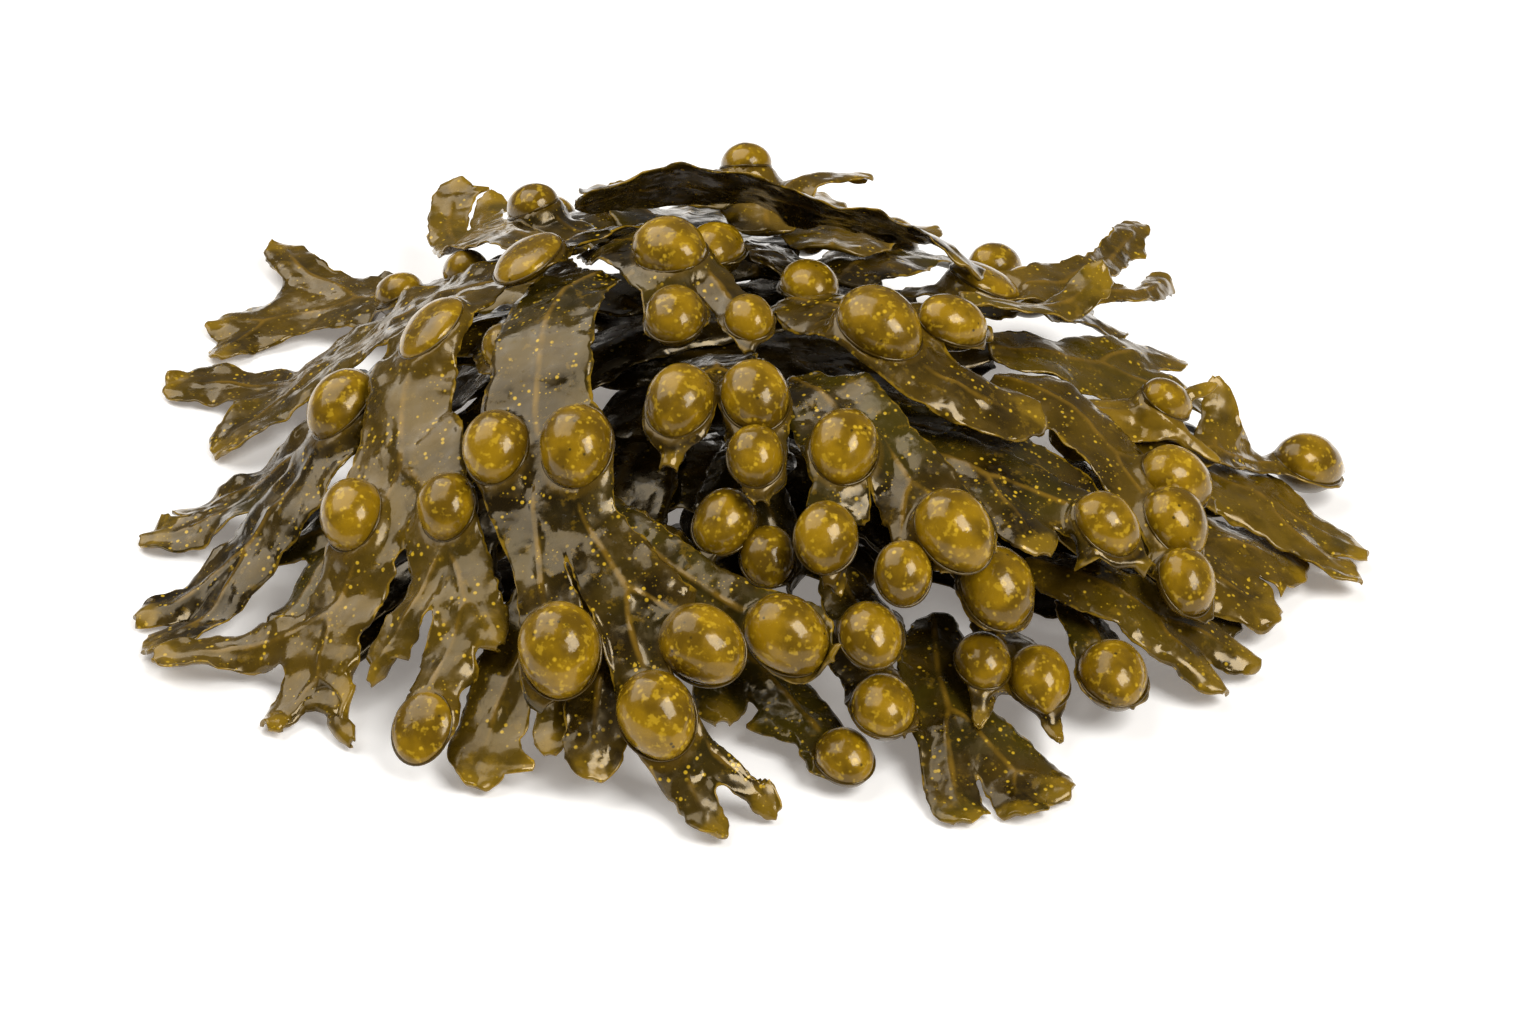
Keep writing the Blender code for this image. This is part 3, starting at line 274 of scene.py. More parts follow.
def heap_slope(x, y):
    """Rise of the heap's surface per millimetre along x and along y."""
    half = 0.5
    along_x = (heap_height(x + half, y) - heap_height(x - half, y)) / (2 * half)
    along_y = (heap_height(x, y + half) - heap_height(x, y - half)) / (2 * half)
    return float(along_x), float(along_y)


def smooth_route(points, before=None):
    """A Catmull-Rom curve through (x, y, lift) points, sampled finely."""
    points = np.array(points, float)
    first = 2 * points[0] - points[1] if before is None else np.array(before, float)
    padded = np.vstack([first, points, 2 * points[-1] - points[-2]])
    curve = [points[0]]
    for i in range(1, len(padded) - 2):
        a, b, c, d = padded[i - 1 : i + 3]
        steps = max(2, math.ceil(np.linalg.norm(c[:2] - b[:2]) / ROUTE_STEP))
        for k in range(1, steps + 1):
            t = k / steps
            bend = 2 * a - 5 * b + 4 * c - d
            curve.append(0.5 * (2 * b + (c - a) * t + bend * t**2 + (3 * b - a - 3 * c + d) * t**3))
    return np.array(curve)


class Route:
    """A branch's centre line over the heap, measured along its own length."""

    def __init__(self, points, before, level):
        self.curve = smooth_route(points, before)
        height = level * heap_height(self.curve[:, 0], self.curve[:, 1]) + self.curve[:, 2]
        steps = np.diff(np.column_stack([self.curve[:, :2], height]), axis=0)
        self.distance = np.concatenate([[0.0], np.cumsum(np.linalg.norm(steps, axis=1))])
        self.length = self.distance[-1]

    def at(self, s):
        """x, y, lift, and the unit direction on the ground, at a distance along the route."""
        here = [np.interp(s, self.distance, self.curve[:, k]) for k in range(3)]
        ends = max(s - 1.0, 0.0), min(s + 1.0, self.length)
        low, high = np.interp(ends, self.distance, np.arange(len(self.curve)))
        step = self.curve[math.ceil(high), :2] - self.curve[math.floor(low), :2]
        return *here, step / np.linalg.norm(step)

    def nearest(self, x, y):
        """How far along the route a point lies, and how far to its left."""
        i = int(np.argmin(np.hypot(self.curve[:, 0] - x, self.curve[:, 1] - y)))
        s = float(self.distance[i])
        here_x, here_y, _, ahead = self.at(s)
        return s, float(ahead[0] * (y - here_y) - ahead[1] * (x - here_x))

    def with_bladders(self, bladders):
        """For each bladder: how far along the route, how far to its left, its size, and if it is flat."""
        return [self.nearest(x, y) + (size, flat) for x, y, size, flat in bladders]


class Sheet:
    """The middle surface of one frond, as points with wished heights, faces and bladders."""

    def __init__(self, level, seed, spacing):
        self.level = level
        self.spacing = spacing
        self.phase = seed * PHASE_STEP
        self.flat = level == 0.0
        self.xy = []
        self.wish = []
        self.ridge = []
        self.faces = []
        self.bladders = []

    def add(self, x, y, lift, ridge):
        height = self.level * float(heap_height(x, y)) + lift
        self.xy.append((x, y))
        self.wish.append(BLADE_THICK / 2 + (0.0 if self.flat else RIM_HEIGHT + height))
        self.ridge.append(ridge)
        return len(self.xy) - 1

    def edge_point(self, route, s, side, half_width, roll, travelled):
        """A point of the edge, left (+1) or right (-1), with the wave of the edge."""
        x, y, lift, ahead = route.at(s)
        outward = side * np.array([-ahead[1], ahead[0]])
        rise = self.level * float(np.dot(heap_slope(x, y), outward)) + side * roll
        reach = half_width / math.sqrt(1 + rise**2)
        turn = 2 * math.pi * (travelled + s) / WAVE_LENGTH + self.phase
        wave = 0.0 if self.flat else side * WAVE_HEIGHT * math.sin(turn)
        end = np.array([x, y]) + reach * outward
        return self.add(end[0], end[1], lift + wave + side * roll * reach, 0.0)

    def middle_point(self, route, s):
        x, y, lift, _ = route.at(s)
        return self.add(x, y, lift, 1.0)


def half_width(bladders, s, side, base, travelled, phase):
    """Half the blade's width: its own, with shallow cuts, or wider where it surrounds a bladder."""
    cut = 1 + EDGE_CUT * math.sin(2 * math.pi * (travelled + s) / EDGE_CUT_LENGTH + phase + side)
    width = base * cut
    for along, left, size, _ in bladders:
        half_length = size * BLADDER_LONG / 2 + BLADDER_RIM
        around = half_length**2 - (s - along) ** 2
        if around > 0:
            width = max(width, side * left + math.sqrt(around) * (size / 2 + BLADDER_RIM) / half_length)
    return width


def grow(sheet, part, start, before, travelled, first_row=None, first_at=0.0):
    """Adds a branch and all that forks from it. The first row is the fork's, or the cut end."""
    route = Route([start] + part["route"], before, sheet.level)
    found = route.with_bladders(part["bladders"])
    last = route.length
    base = part["width"] / 2
    end_scale = FORK_SWELL if part["forks"] else TIP_TAPER

    def widths(s):
        share = s / last
        here = base * (1 + (end_scale - 1) * share)
        if first_row is None:
            here *= ROOT_TAPER + (1 - ROOT_TAPER) * min(1.0, s / ROW_SPACING)
        return [half_width(found, s, side, here, travelled, sheet.phase) for side in (1, -1)]

    def row(s, scale=1.0, pulled=0.0):
        left, right = widths(s)
        roll = part["roll"]
        return (sheet.edge_point(route, s, 1, left * scale, roll, travelled),
                sheet.middle_point(route, s - pulled),
                sheet.edge_point(route, s, -1, right * scale, roll, travelled))

    body_end = last - (FORK_LEAD if part["forks"] else TIP_SHOULDER) * part["width"]
    count = max(1, round((body_end - first_at) / sheet.spacing))
    places = np.linspace(first_at, body_end, count + 1)
    rows = [first_row or row(places[0])]
    rows += [row(s) for s in places[1:]]
    if not part["forks"]:
        rows.append(row(last, TIP_END, TIP_NOTCH * part["width"]))
    for (left, middle, right), (next_left, next_middle, next_right) in zip(rows, rows[1:]):
        sheet.faces += [(left, middle, next_middle, next_left), (middle, right, next_right, next_middle)]
    for x, y, size, flat in part["bladders"]:
        along, _ = route.nearest(x, y)
        sheet.bladders.append((x, y, size, flat, route.at(along)[3]))
    if part["forks"]:
        fork(sheet, part, route, rows[-1], travelled + last)


def plant(sheet, stem):
    """Grows a whole frond from its root."""
    first, second = stem["route"][:2]
    before = tuple(2 * np.array(first) - np.array(second))
    grow(sheet, dict(stem, route=stem["route"][1:]), first, before, 0.0)


def fork(sheet, part, route, row, travelled):
    """Splits the blade in two at the end of a branch: two new rows that meet at the crotch."""
    x, y, lift, ahead = route.at(route.length)
    end = (x, y, lift)
    before = tuple(route.curve[-2 - int(FORK_BACK / ROUTE_STEP)])
    ways = [Route([end] + child["route"], before, sheet.level) for child in part["forks"]]
    mean_width = sum(child["width"] for child in part["forks"]) / 2
    leaves = [way.at(min(mean_width, way.length))[:2] - np.array([x, y]) for way in ways]
    turned = [math.atan2(ahead[0] * v[1] - ahead[1] * v[0], float(np.dot(ahead, v))) for v in leaves]
    order = (0, 1) if turned[0] > turned[1] else (1, 0)
    half_angle = max(FORK_NARROWEST, abs(turned[0] - turned[1]) / 2)
    nearest, farthest = (share * mean_width for share in FORK_FROM_TO)
    spread = np.clip(mean_width / 2 / math.tan(half_angle), nearest, farthest)
    at = [min(float(spread), FORK_MOST * way.length) for way in ways]

    def edge(index, side):
        child, way, s = part["forks"][index], ways[index], at[index]
        found = way.with_bladders(child["bladders"])
        reach = half_width(found, s, side, child["width"] / 2, travelled, sheet.phase)
        return sheet.edge_point(way, s, side, reach, child["roll"], travelled)

    left, right = order
    outer_left = edge(left, 1)
    middle_left = sheet.middle_point(ways[left], at[left])
    middle_right = sheet.middle_point(ways[right], at[right])
    outer_right = edge(right, -1)
    inner = [inner_place(ways[left], at[left], -1, part["forks"][left]["width"] / 2),
             inner_place(ways[right], at[right], 1, part["forks"][right]["width"] / 2)]
    crotch_x, crotch_y, crotch_lift = (inner[0] + inner[1]) / 2
    crotch = sheet.add(crotch_x, crotch_y, crotch_lift, 0.0)
    parent_left, parent_middle, parent_right = row
    sheet.faces += [(parent_left, parent_middle, middle_left, outer_left),
                    (parent_middle, crotch, middle_left),
                    (parent_middle, middle_right, crotch),
                    (parent_middle, parent_right, outer_right, middle_right)]
    grow(sheet, part["forks"][left], end, before, travelled, (outer_left, middle_left, crotch), at[left])
    grow(sheet, part["forks"][right], end, before, travelled, (crotch, middle_right, outer_right), at[right])


def inner_place(route, s, side, reach):
    """Where the edge of a branch that faces its neighbour passes, with the lift there."""
    x, y, lift, ahead = route.at(s)
    return np.array([x - side * reach * ahead[1], y + side * reach * ahead[0], lift])


def triangles_of(faces):
    """The faces as triangles, each quad split the same way for both sides of the blade."""
    return np.array([(f[0], f[i], f[i + 1]) for f in faces for i in range(1, len(f) - 1)])


def triangle_normals(xy, height, triangles):
    """A normal of each triangle, as long as twice its area."""
    points = np.column_stack([xy, height])
    a, b, c = (points[triangles[:, k]] for k in range(3))
    return np.cross(b - a, c - a)


def sum_at_points(normal, faces, count):
    """At each point, the sum of the normals of the faces round it."""
    total = np.zeros((count, 3))
    for k in range(faces.shape[1]):
        np.add.at(total, faces[:, k], normal)
    return total


def steepness(xy, height, triangles):
    """One over the cosine of the slope at each point, for the blade's thickness."""
    total = sum_at_points(triangle_normals(xy, height, triangles), triangles, len(xy))
    upright = total[:, 2] / np.linalg.norm(total, axis=1)
    return 1 / np.clip(upright, 1 / MOST_STEEP, None)


def new_ball(sides, rings, radius):
    """The points and faces of a ball."""
    ball = bmesh.new()
    bmesh.ops.create_uvsphere(ball, u_segments=sides, v_segments=rings, radius=radius)
    points = np.array([v.co[:] for v in ball.verts])
    faces = [[v.index for v in f.verts] for f in ball.faces]
    ball.free()
    return points, faces


def bladder_axes(x, y, size, flat, ahead, level):
    """Columns: half its length along the branch, half its width across, half its depth."""
    slope = level * np.array(heap_slope(x, y))
    along = np.array([ahead[0], ahead[1], float(np.dot(slope, ahead))])
    normal = np.array([-slope[0], -slope[1], 1.0])
    along /= np.linalg.norm(along)
    normal /= np.linalg.norm(normal)
    across = np.cross(normal, along)
    deep = FLAT_BLADDER_DEEP if flat else BLADDER_DEEP
    return np.column_stack([along * size / 2 * BLADDER_LONG, across * size / 2, normal * size / 2 * deep])


class HeightMap:
    """The highest material laid so far, on a grid of cells over the ground."""

    def __init__(self):
        self.count = int(2 * GRID_HALF / CELL)
        self.top = np.full((self.count, self.count), -GAP)

    def cells_under(self, xy, triangles):
        """For each cell that a triangle touches: cell, triangle, and the weights of its corners there."""
        found = []
        for index, triangle in enumerate(triangles):
            corners = xy[triangle]
            low = np.floor((corners.min(0) + GRID_HALF) / CELL).astype(int) - 1
            high = np.ceil((corners.max(0) + GRID_HALF) / CELL).astype(int) + 1
            grid = np.stack(np.meshgrid(np.arange(low[0], high[0]), np.arange(low[1], high[1]),
                                        indexing="ij"), -1).reshape(-1, 2)
            centre = (grid + 0.5) * CELL - GRID_HALF
            weights, apart = nearest_in_triangle(centre, corners)
            keep = apart <= CELL * HALF_DIAGONAL
            found.append(np.column_stack([grid[keep], np.full(keep.sum(), index), weights[keep]]))
        found = np.vstack(found)
        return found[:, :2].astype(int), found[:, 2].astype(int), found[:, 3:]

    def raise_to(self, xy, height, triangles):
        cells, owner, weights = self.cells_under(xy, triangles)
        corner_heights = height[triangles[owner]]
        here = (weights * corner_heights).sum(1) + slack(xy, height, triangles)[owner]
        here = np.minimum(here, corner_heights.max(1))
        np.maximum.at(self.top, (cells[:, 0], cells[:, 1]), here)


def nearest_in_triangle(points, corners):
    """Weights of the nearest place of a triangle to each point, and how far that is."""
    best = np.full(len(points), np.inf)
    weights = np.zeros((len(points), 3))
    a, b, c = corners
    area = np.cross(b - a, c - a)
    if abs(area) > 1e-9:
        u = np.cross(points - a, c - a) / area
        v = np.cross(b - a, points - a) / area
        inside = (u >= 0) & (v >= 0) & (u + v <= 1)
        weights[inside] = np.column_stack([1 - u - v, u, v])[inside]
        best[inside] = 0.0
    for i, j in ((0, 1), (1, 2), (2, 0)):
        side = corners[j] - corners[i]
        t = np.clip((points - corners[i]) @ side / max(float(side @ side), 1e-12), 0, 1)
        apart = np.linalg.norm(points - corners[i] - t[:, None] * side, axis=1)
        closer = apart < best
        best[closer] = apart[closer]
        weights[closer] = 0.0
        weights[closer, i] = 1 - t[closer]
        weights[closer, j] = t[closer]
    return weights, best


def slack(xy, height, triangles):
    """How much each triangle's plane can rise from the middle of a cell to its corner."""
    normal = triangle_normals(xy, height, triangles)
    flatness = np.maximum(np.abs(normal[:, 2]), 1e-6)
    return CELL / 2 * (np.abs(normal[:, 0]) + np.abs(normal[:, 1])) / flatness


class LaidFrond:
    """A frond in its place in the heap."""

    def __init__(self, name, sheet):
        self.key = name
        self.name = "frond_" + name
        self.level = sheet.level
        self.xy = np.array(sheet.xy)
        self.triangles = triangles_of(sheet.faces)
        self.ridge = np.array(sheet.ridge)
        self.height = np.array(sheet.wish)
        thick = BLADE_THICK / 2 * steepness(self.xy, self.height, self.triangles)
        self.below = thick
        self.above = thick * (1 + self.ridge * MIDRIB_RISE / (BLADE_THICK / 2))
        self.bladders = [self.seat(*b) for b in sheet.bladders]

    def seat(self, x, y, size, flat, ahead):
        """A bladder with its axes and the blade's triangle that carries it."""
        axes = bladder_axes(x, y, size, flat, ahead, self.level)
        place = np.array([[x, y]])
        found = [nearest_in_triangle(place, self.xy[t]) for t in self.triangles]
        carrier = int(np.argmin([apart[0] for _, apart in found]))
        rise = axes[:, 2] * (1 - BLADDER_SUNK)
        return {"axes": axes, "corners": self.triangles[carrier], "weights": found[carrier][0][0],
                "xy": place[0] + rise[:2], "rise": rise[2]}

    def bladder_height(self, bladder):
        return float(bladder["weights"] @ self.height[bladder["corners"]]) + bladder["rise"]

    def bladder_centre(self, bladder):
        return np.array([*bladder["xy"], self.bladder_height(bladder)])

    def bladder_seat(self, bladder):
        """The middle of the tilted plane in which the blade surrounds the bladder, and the way it faces."""
        deep = bladder["axes"][:, 2]
        return self.bladder_centre(bladder) - deep * SEAT, deep / np.linalg.norm(deep)


def mean_around(value, links):
    """The mean of a value over the points that each point is linked to."""
    total = np.zeros(len(value))
    np.add.at(total, links[:, 0], value[links[:, 1]])
    np.add.at(total, links[:, 1], value[links[:, 0]])
    return total / np.bincount(links.reshape(-1), minlength=len(value))


def lay(frond, heights, ball):
    """Lifts a frond clear of what lies below, smoothly where it can, and adds it to the map."""
    ball_points, ball_triangles = ball
    cells, owner, weights = heights.cells_under(frond.xy, frond.triangles)
    ground = heights.top[cells[:, 0], cells[:, 1]] + GAP
    corners = frond.triangles[owner]
    needs = []
    for bladder in frond.bladders:
        shape = ball_points @ bladder["axes"].T
        under, under_owner, under_weights = heights.cells_under(bladder["xy"] + shape[:, :2], ball_triangles)
        corner_heights = shape[ball_triangles[under_owner], 2]
        bottom = (under_weights * corner_heights).sum(1)
        bottom -= slack(shape[:, :2], shape[:, 2], ball_triangles)[under_owner]
        bottom = np.maximum(bottom, corner_heights.min(1))
        needs.append(float((heights.top[under[:, 0], under[:, 1]] + GAP - bottom).max()))
    links = np.array(sorted({(min(a, b), max(a, b)) for t in frond.triangles
                             for a, b in ((t[0], t[1]), (t[1], t[2]), (t[2], t[0]))}))
    wish = frond.height.copy()

    def shortfall():
        bottom = frond.height - frond.below
        low = (weights * bottom[corners]).sum(1) - slack(frond.xy, bottom, frond.triangles)[owner]
        low = np.maximum(low, bottom[corners].min(1))
        push = np.zeros(len(frond.xy))
        np.maximum.at(push, corners, np.maximum(ground - low, 0)[:, None])
        for bladder, need in zip(frond.bladders, needs):
            short = need - frond.bladder_height(bladder)
            if short > 0:
                np.maximum.at(push, bladder["corners"], short)
        return push

    for _ in range(RELAX_STEPS):
        frond.height += shortfall()
        lift = frond.height - wish
        lift += GIVE * (mean_around(lift, links) - lift)
        frond.height = wish + lift * SETTLE
    for _ in range(CLEAR_STEPS):
        push = shortfall()
        frond.height += push
        if push.max() < CLEAR_ENOUGH:
            break
    heights.raise_to(frond.xy, frond.height + frond.above, frond.triangles)
    for bladder in frond.bladders:
        shape = ball_points @ bladder["axes"].T
        heights.raise_to(bladder["xy"] + shape[:, :2], shape[:, 2] + frond.bladder_height(bladder),
                         ball_triangles)


def lay_heap(ball):
    """All the fronds in their places, from the bottom up."""
    heights = HeightMap()
    heap = []
    for number, (name, level, stem) in enumerate(FRONDS):
        sheet = Sheet(level, number, ROW_SPACING)
        plant(sheet, stem)
        frond = LaidFrond(name, sheet)
        lay(frond, heights, ball)
        heap.append(frond)
    return heap


def heap_middle(heap, ball_points):
    """The middle of the box round the whole heap, on the ground."""
    spots = [frond.xy for frond in heap]
    spots += [b["xy"] + (ball_points @ b["axes"].T)[:, :2] for frond in heap for b in frond.bladders]
    spots = np.vstack(spots)
    return (spots.min(0) + spots.max(0)) / 2


# The fine surface: spacing of its control rows, how often it is divided, and the fronds that lie hidden
# and so are divided less. The deep ones get painted shade, a dark colour standing in for the shade inside the
# heap
FINE_ROW = 5.0
SEEN_LEVEL = 3
HIDDEN_LEVEL = 2
HIDDEN = ("base", "inner_", "low_", "left_under")
PAINTED_SHADE_FRONDS = ("base", "inner_", "low_", "hollow")

# The blade's section: half its thickness in the middle and at the edge, and how late it thins
MIDDLE_HALF = 0.42
EDGE_HALF = 0.13
THIN_POWER = 2.4

# The least that the edge value is taken to grow per millimetre, where a distance is read from it
LEAST_RATE = 0.05

# The midrib: its rise, its width, its share of rise on the underside, and where it fades out before a tip
RIB_RISE = 0.38
RIB_WIDTH = 0.72
RIB_UNDER = 0.45
RIB_FADE = (2.0, 9.0)

# How much the edges droop, the mean share of it, and the share that changes from frond to frond
DROOP = 0.5
DROOP_SHARES = (0.6, 0.8)
DROOP_STEP = 1.7

# Waves and wrinkles: height and length of each. Ruffles grow towards the edge, and wrinkles lessen
RUFFLES = ((1.5, 8.0), (0.7, 3.4))
RUFFLE_POWER = 2.2
RUFFLED = ("rear_left_tips", "left_broad", "left_upper", "left", "left_under",
           "left_front", "right_low", "right_tips", "right_lying")
RUFFLED_MORE = 1.6
WRINKLES = ((1.1, 11.0), (0.6, 5.5), (0.2, 2.4))
WRINKLES_LESS = 0.3
CALM_AT_BLADDER = 0.75

# Nibbled edges: waves, the depth all round, the most that a wave takes back, and how near the edge it stays
NIBBLES = ((0.8, 3.4), (0.6, 1.5))
NIBBLE_DEPTH = 0.3
NIBBLE_LEAST = -0.2
NIBBLE_POWER = 6

# The bladders: divisions, taper, unevenness (height and length of each wave), the small point that two of
# them end in and where it begins, and how far up the painted shade on their underside reaches
OVAL_SIDES = 36
OVAL_RINGS = 24
OVAL_TAPER = 0.07
OVAL_UNEVEN = ((0.035, 0.9), (0.035 * 0.4, 0.35))
MUCRO = 0.16
MUCRO_FROM = 0.86
POINTED = (("right_terminal", 0), ("front_right_pair", 1))
PAINTED_SHADE_REACH = 0.35

# The blade round a bladder: width of the collar, how far below the bladder's middle it lies as a share of
# the bladder's half depth, the most it moves to get there, and how far out it is then held down
COLLAR = 1.2
SEAT = 0.15
SEAT_MOST = 2.5
SEAT_HELD = 0.4

# The ring of water round a bladder: half its thickness, its sides, and its rise in half blade thicknesses
WET_RIM = 0.26
WET_RIM_SIDES = 6
WET_RIM_RAISED = 0.8

# The short end of a blade beyond a bladder: the most it is drawn in, how far it may reach, how near to its
# tip it is drawn in, and where along the blade that begins
END_PINCH = 0.5
END_SHORT = 7.0
END_NEAR = 12.0
END_BEGINS = (2.5, 0.8)

# Round tips: their length in half widths, how late they curve, the narrowest share of the width, the room
# a bladder has to leave, how far aside points are drawn in half widths, and over how much of that it fades
TIP_ROUND = 1.0
TIP_POWER = 2.4
TIP_LEAST = 0.3
TIP_CLEAR = 4.0
TIP_REACH = 2.2
TIP_FADE = 0.8

# How far from its tip a blade turns golden: its own lighter tip, and painted light for the light shining
# through it
TIP_LIGHT = 6.5


def by_frond(*rows):
    """A value for each frond, from rows of the value and the fronds that have it."""
    return {name: value for value, *names in rows for name in names}


# How golden the yellower fronds are, from 0 to 1
GOLDEN = by_frond(
    (1.0, "golden_tips"),
    (0.6, "rear_left_raised"),
    (0.5, "right_terminal", "right_tips", "crown_rear", "rear_mid_right"),
    (0.4, "right_curl", "right_raised", "right_low", "crown_tips"),
    (0.35, "right_broad"),
    (0.3, "left_front", "front_low_left", "rear_left_tips"),
    (0.25, "right_lying", "right_chain", "left_broad"),
    (0.15, "broad_blade"))

# The limp wet blades spread a little broader than the solids, and these fronds more
BROADER_MOST = 1.05
BROADER = by_frond(
    (1.35, "front_fan"),
    (1.3, "shadow", "inner_crown_rear"),
    (1.25, "inner_left_rear", "rear_mid_left", "rear_mid_right"),
    (1.2, "inner_front_right", "inner_right_front", "inner_crown"),
    (1.2, "rear_right", "rear", "crown_rear", "arch"),
    (1.15, "front_ends", "crown_left", "front_strip"))

# Laying the fine blades: cells of the height map and what they start from, the gap, the lowest place, the
# most that a point is lifted, and the least that a steep blade's thickness counts for
FINE_CELL = 0.8
FINE_START = -9.0
FINE_GAP = 0.08
LOWEST = 0.25
MOST_LIFT = 1.2
LIFT_STEPS = 4
LEAST_DEPTH = 0.3


class FineMap:
    """The highest fine surface so far, on a grid of cells."""

    def __init__(self):
        self.count = int(2 * GRID_HALF / FINE_CELL)
        self.top = np.full((self.count, self.count), FINE_START)

    def cell(self, xy):
        found = ((xy + GRID_HALF) / FINE_CELL).astype(int)
        return np.clip(found, 0, self.count - 1).T

    def raise_to(self, points):
        np.maximum.at(self.top, tuple(self.cell(points[:, :2])), points[:, 2])

    def under(self, xy):
        return self.top[tuple(self.cell(xy))]


def fractal(points, waves, seed):
    """The sum of noise waves, each a height and a length, at every point."""
    total = np.zeros(len(points))
    for number, (rise, length) in enumerate(waves):
        shift = Vector((seed * 7.3, seed * 3.1 + number * 11.7, seed * 5.9))
        total += rise * np.array([noise.noise(Vector(p) / length + shift) for p in points])
    return total


def broadened(part, share):
    """The same branch and its forks, with every blade that much broader."""
    forks = tuple(broadened(child, share) for child in part["forks"])
    return dict(part, width=part["width"] * share, forks=forks)


def fine_sheet(frond, number):
    """The frond's middle surface with closer rows, its heights read off the laid frond."""
    _, level, stem = FRONDS[number]
    sheet = Sheet(level, number, FINE_ROW)
    plant(sheet, broadened(stem, BROADER.get(frond.key, BROADER_MOST)))
    places = np.array(sheet.xy)
    best = np.full(len(places), np.inf)
    height = np.zeros(len(places))
    for triangle in frond.triangles:
        weights, apart = nearest_in_triangle(places, frond.xy[triangle])
        closer = apart < best
        best[closer] = apart[closer]
        height[closer] = (weights @ frond.height[triangle])[closer]
    return np.column_stack([places, height]), sheet.faces, 1.0 - np.array(sheet.ridge)


def divided(points, faces, edge, level):
    """The smooth surface of that control mesh: points, quads and the edge value (0 middle, 1 edge)."""
    mesh = bpy.data.meshes.new("control")
    mesh.from_pydata(points.tolist(), [], faces)
    mesh.attributes.new("edge", "FLOAT", "POINT").data.foreach_set("value", edge)
    control = bpy.data.objects.new("control", mesh)
    bpy.context.scene.collection.objects.link(control)
    smooth = control.modifiers.new("smooth", "SUBSURF")
    smooth.levels = level
    smooth.render_levels = level
    evaluated = control.evaluated_get(bpy.context.evaluated_depsgraph_get())
    fine = evaluated.to_mesh()
    read = []
    for rows, field, width, kind in ((fine.vertices, "co", 3, float), (fine.polygons, "vertices", 4, int),
                                     (fine.attributes["edge"].data, "value", 1, float)):
        values = np.zeros(len(rows) * width, kind)
        rows.foreach_get(field, values)
        read.append(values.reshape(-1, width))
    evaluated.to_mesh_clear()
    bpy.data.objects.remove(control)
    bpy.data.meshes.remove(mesh)
    places, quads, value = read
    return places, quads, value[:, 0]


def normals_of(points, quads):
    a, b, c, d = (points[quads[:, k]] for k in range(4))
    total = sum_at_points(np.cross(c - a, d - b), quads, len(points))
    return total / np.maximum(np.linalg.norm(total, axis=1), 1e-12)[:, None]


def edges_of(quads):
    """Every edge once, and those of only one quad, as they run round the border."""
    ends = np.vstack([quads[:, [k, (k + 1) % 4]] for k in range(4)])
    keys = np.sort(ends, axis=1)
    _, first, counts = np.unique(keys, axis=0, return_index=True, return_counts=True)
    return keys[first], ends[first[counts == 1]]


def outward_of(points, edge, links):
    """At each point, the way along the blade in which its nearest edge lies."""
    step = points[links[:, 1]] - points[links[:, 0]]
    length = np.maximum((step**2).sum(1), 1e-9)
    slope = (edge[links[:, 1]] - edge[links[:, 0]])[:, None] * step / length[:, None]
    total = np.zeros_like(points)
    np.add.at(total, links[:, 0], slope)
    np.add.at(total, links[:, 1], slope)
    return total / np.maximum(np.linalg.norm(total, axis=1), 1e-9)[:, None]


def spread_lift(push, links, steps):
    """Smooths a lift along the mesh, never below what it has to be."""
    lift = push.copy()
    for _ in range(steps):
        lift = np.maximum(push, 0.5 * lift + 0.5 * mean_around(lift, links))
    return lift


def leaf_ends(part, start):
    """Each tip of a frond: where it ends on the ground, the way it points, and half its width."""
    stops = [np.array(start, float)] + [np.array(stop[:2], float) for stop in part["route"]]
    if not part["forks"]:
        way = stops[-1] - stops[-2]
        return [(stops[-1], way / np.linalg.norm(way), part["width"] / 2)]
    return [end for child in part["forks"] for end in leaf_ends(child, stops[-1])]


def round_tips(points, tips, bladders):
    """Draws the sides of every tip in, so that it ends in a curve, but not where a bladder ends it."""
    ends = np.array([end for end, _, _ in tips])
    apart = np.linalg.norm(points[:, None, :2] - ends[None], axis=2)
    closest = apart.argmin(1)
    for number, (end, way, half) in enumerate(tips):
        if any(np.linalg.norm(end - b["xy"]) < np.linalg.norm(b["axes"][:, 0]) + TIP_CLEAR for b in bladders):
            continue
        away = points[:, :2] - end
        along = away @ way
        side = np.array([-way[1], way[0]])
        across = away @ side
        reach = TIP_ROUND * half
        near = (along > -reach) & (closest == number)
        drawn = np.clip(1 + along / reach, 0, 1) ** TIP_POWER
        share = np.sqrt(np.clip(1 - drawn, TIP_LEAST**2, 1))
        fade = np.clip((TIP_REACH - np.abs(across) / half) / TIP_FADE, 0, 1)
        points[near, :2] -= side * (across * (1 - share) * fade)[near, None]
    return ends


def oval_distance(points, bladder):
    """Distance on the ground from a bladder's outline, in millimetres, below 0 inside."""
    axes = bladder["axes"]
    flat = np.linalg.inv(axes[:2, :2])
    away = (points[:, :2] - bladder["xy"]) @ flat.T
    size = np.linalg.norm(axes[:, 1])
    return (np.linalg.norm(away, axis=1) - 1.0) * size


def end_pinch(points, frond, ends):
    """How much the short end of a blade beyond a bladder is drawn in, as a share of its width."""
    pinch = np.zeros(len(points))
    length, before = END_BEGINS
    for bladder in frond.bladders:
        half_length = np.linalg.norm(bladder["axes"][:, 0])
        for end in ends:
            way = end - bladder["xy"]
            distance = np.linalg.norm(way)
            if distance - half_length < END_SHORT:
                along = (points[:, :2] - bladder["xy"]) @ (way / distance) - half_length
                near_end = np.linalg.norm(points[:, :2] - end, axis=1) < END_NEAR
                pinch = np.maximum(pinch, END_PINCH * np.clip(along / length + before, 0, 1) * near_end)
    return pinch


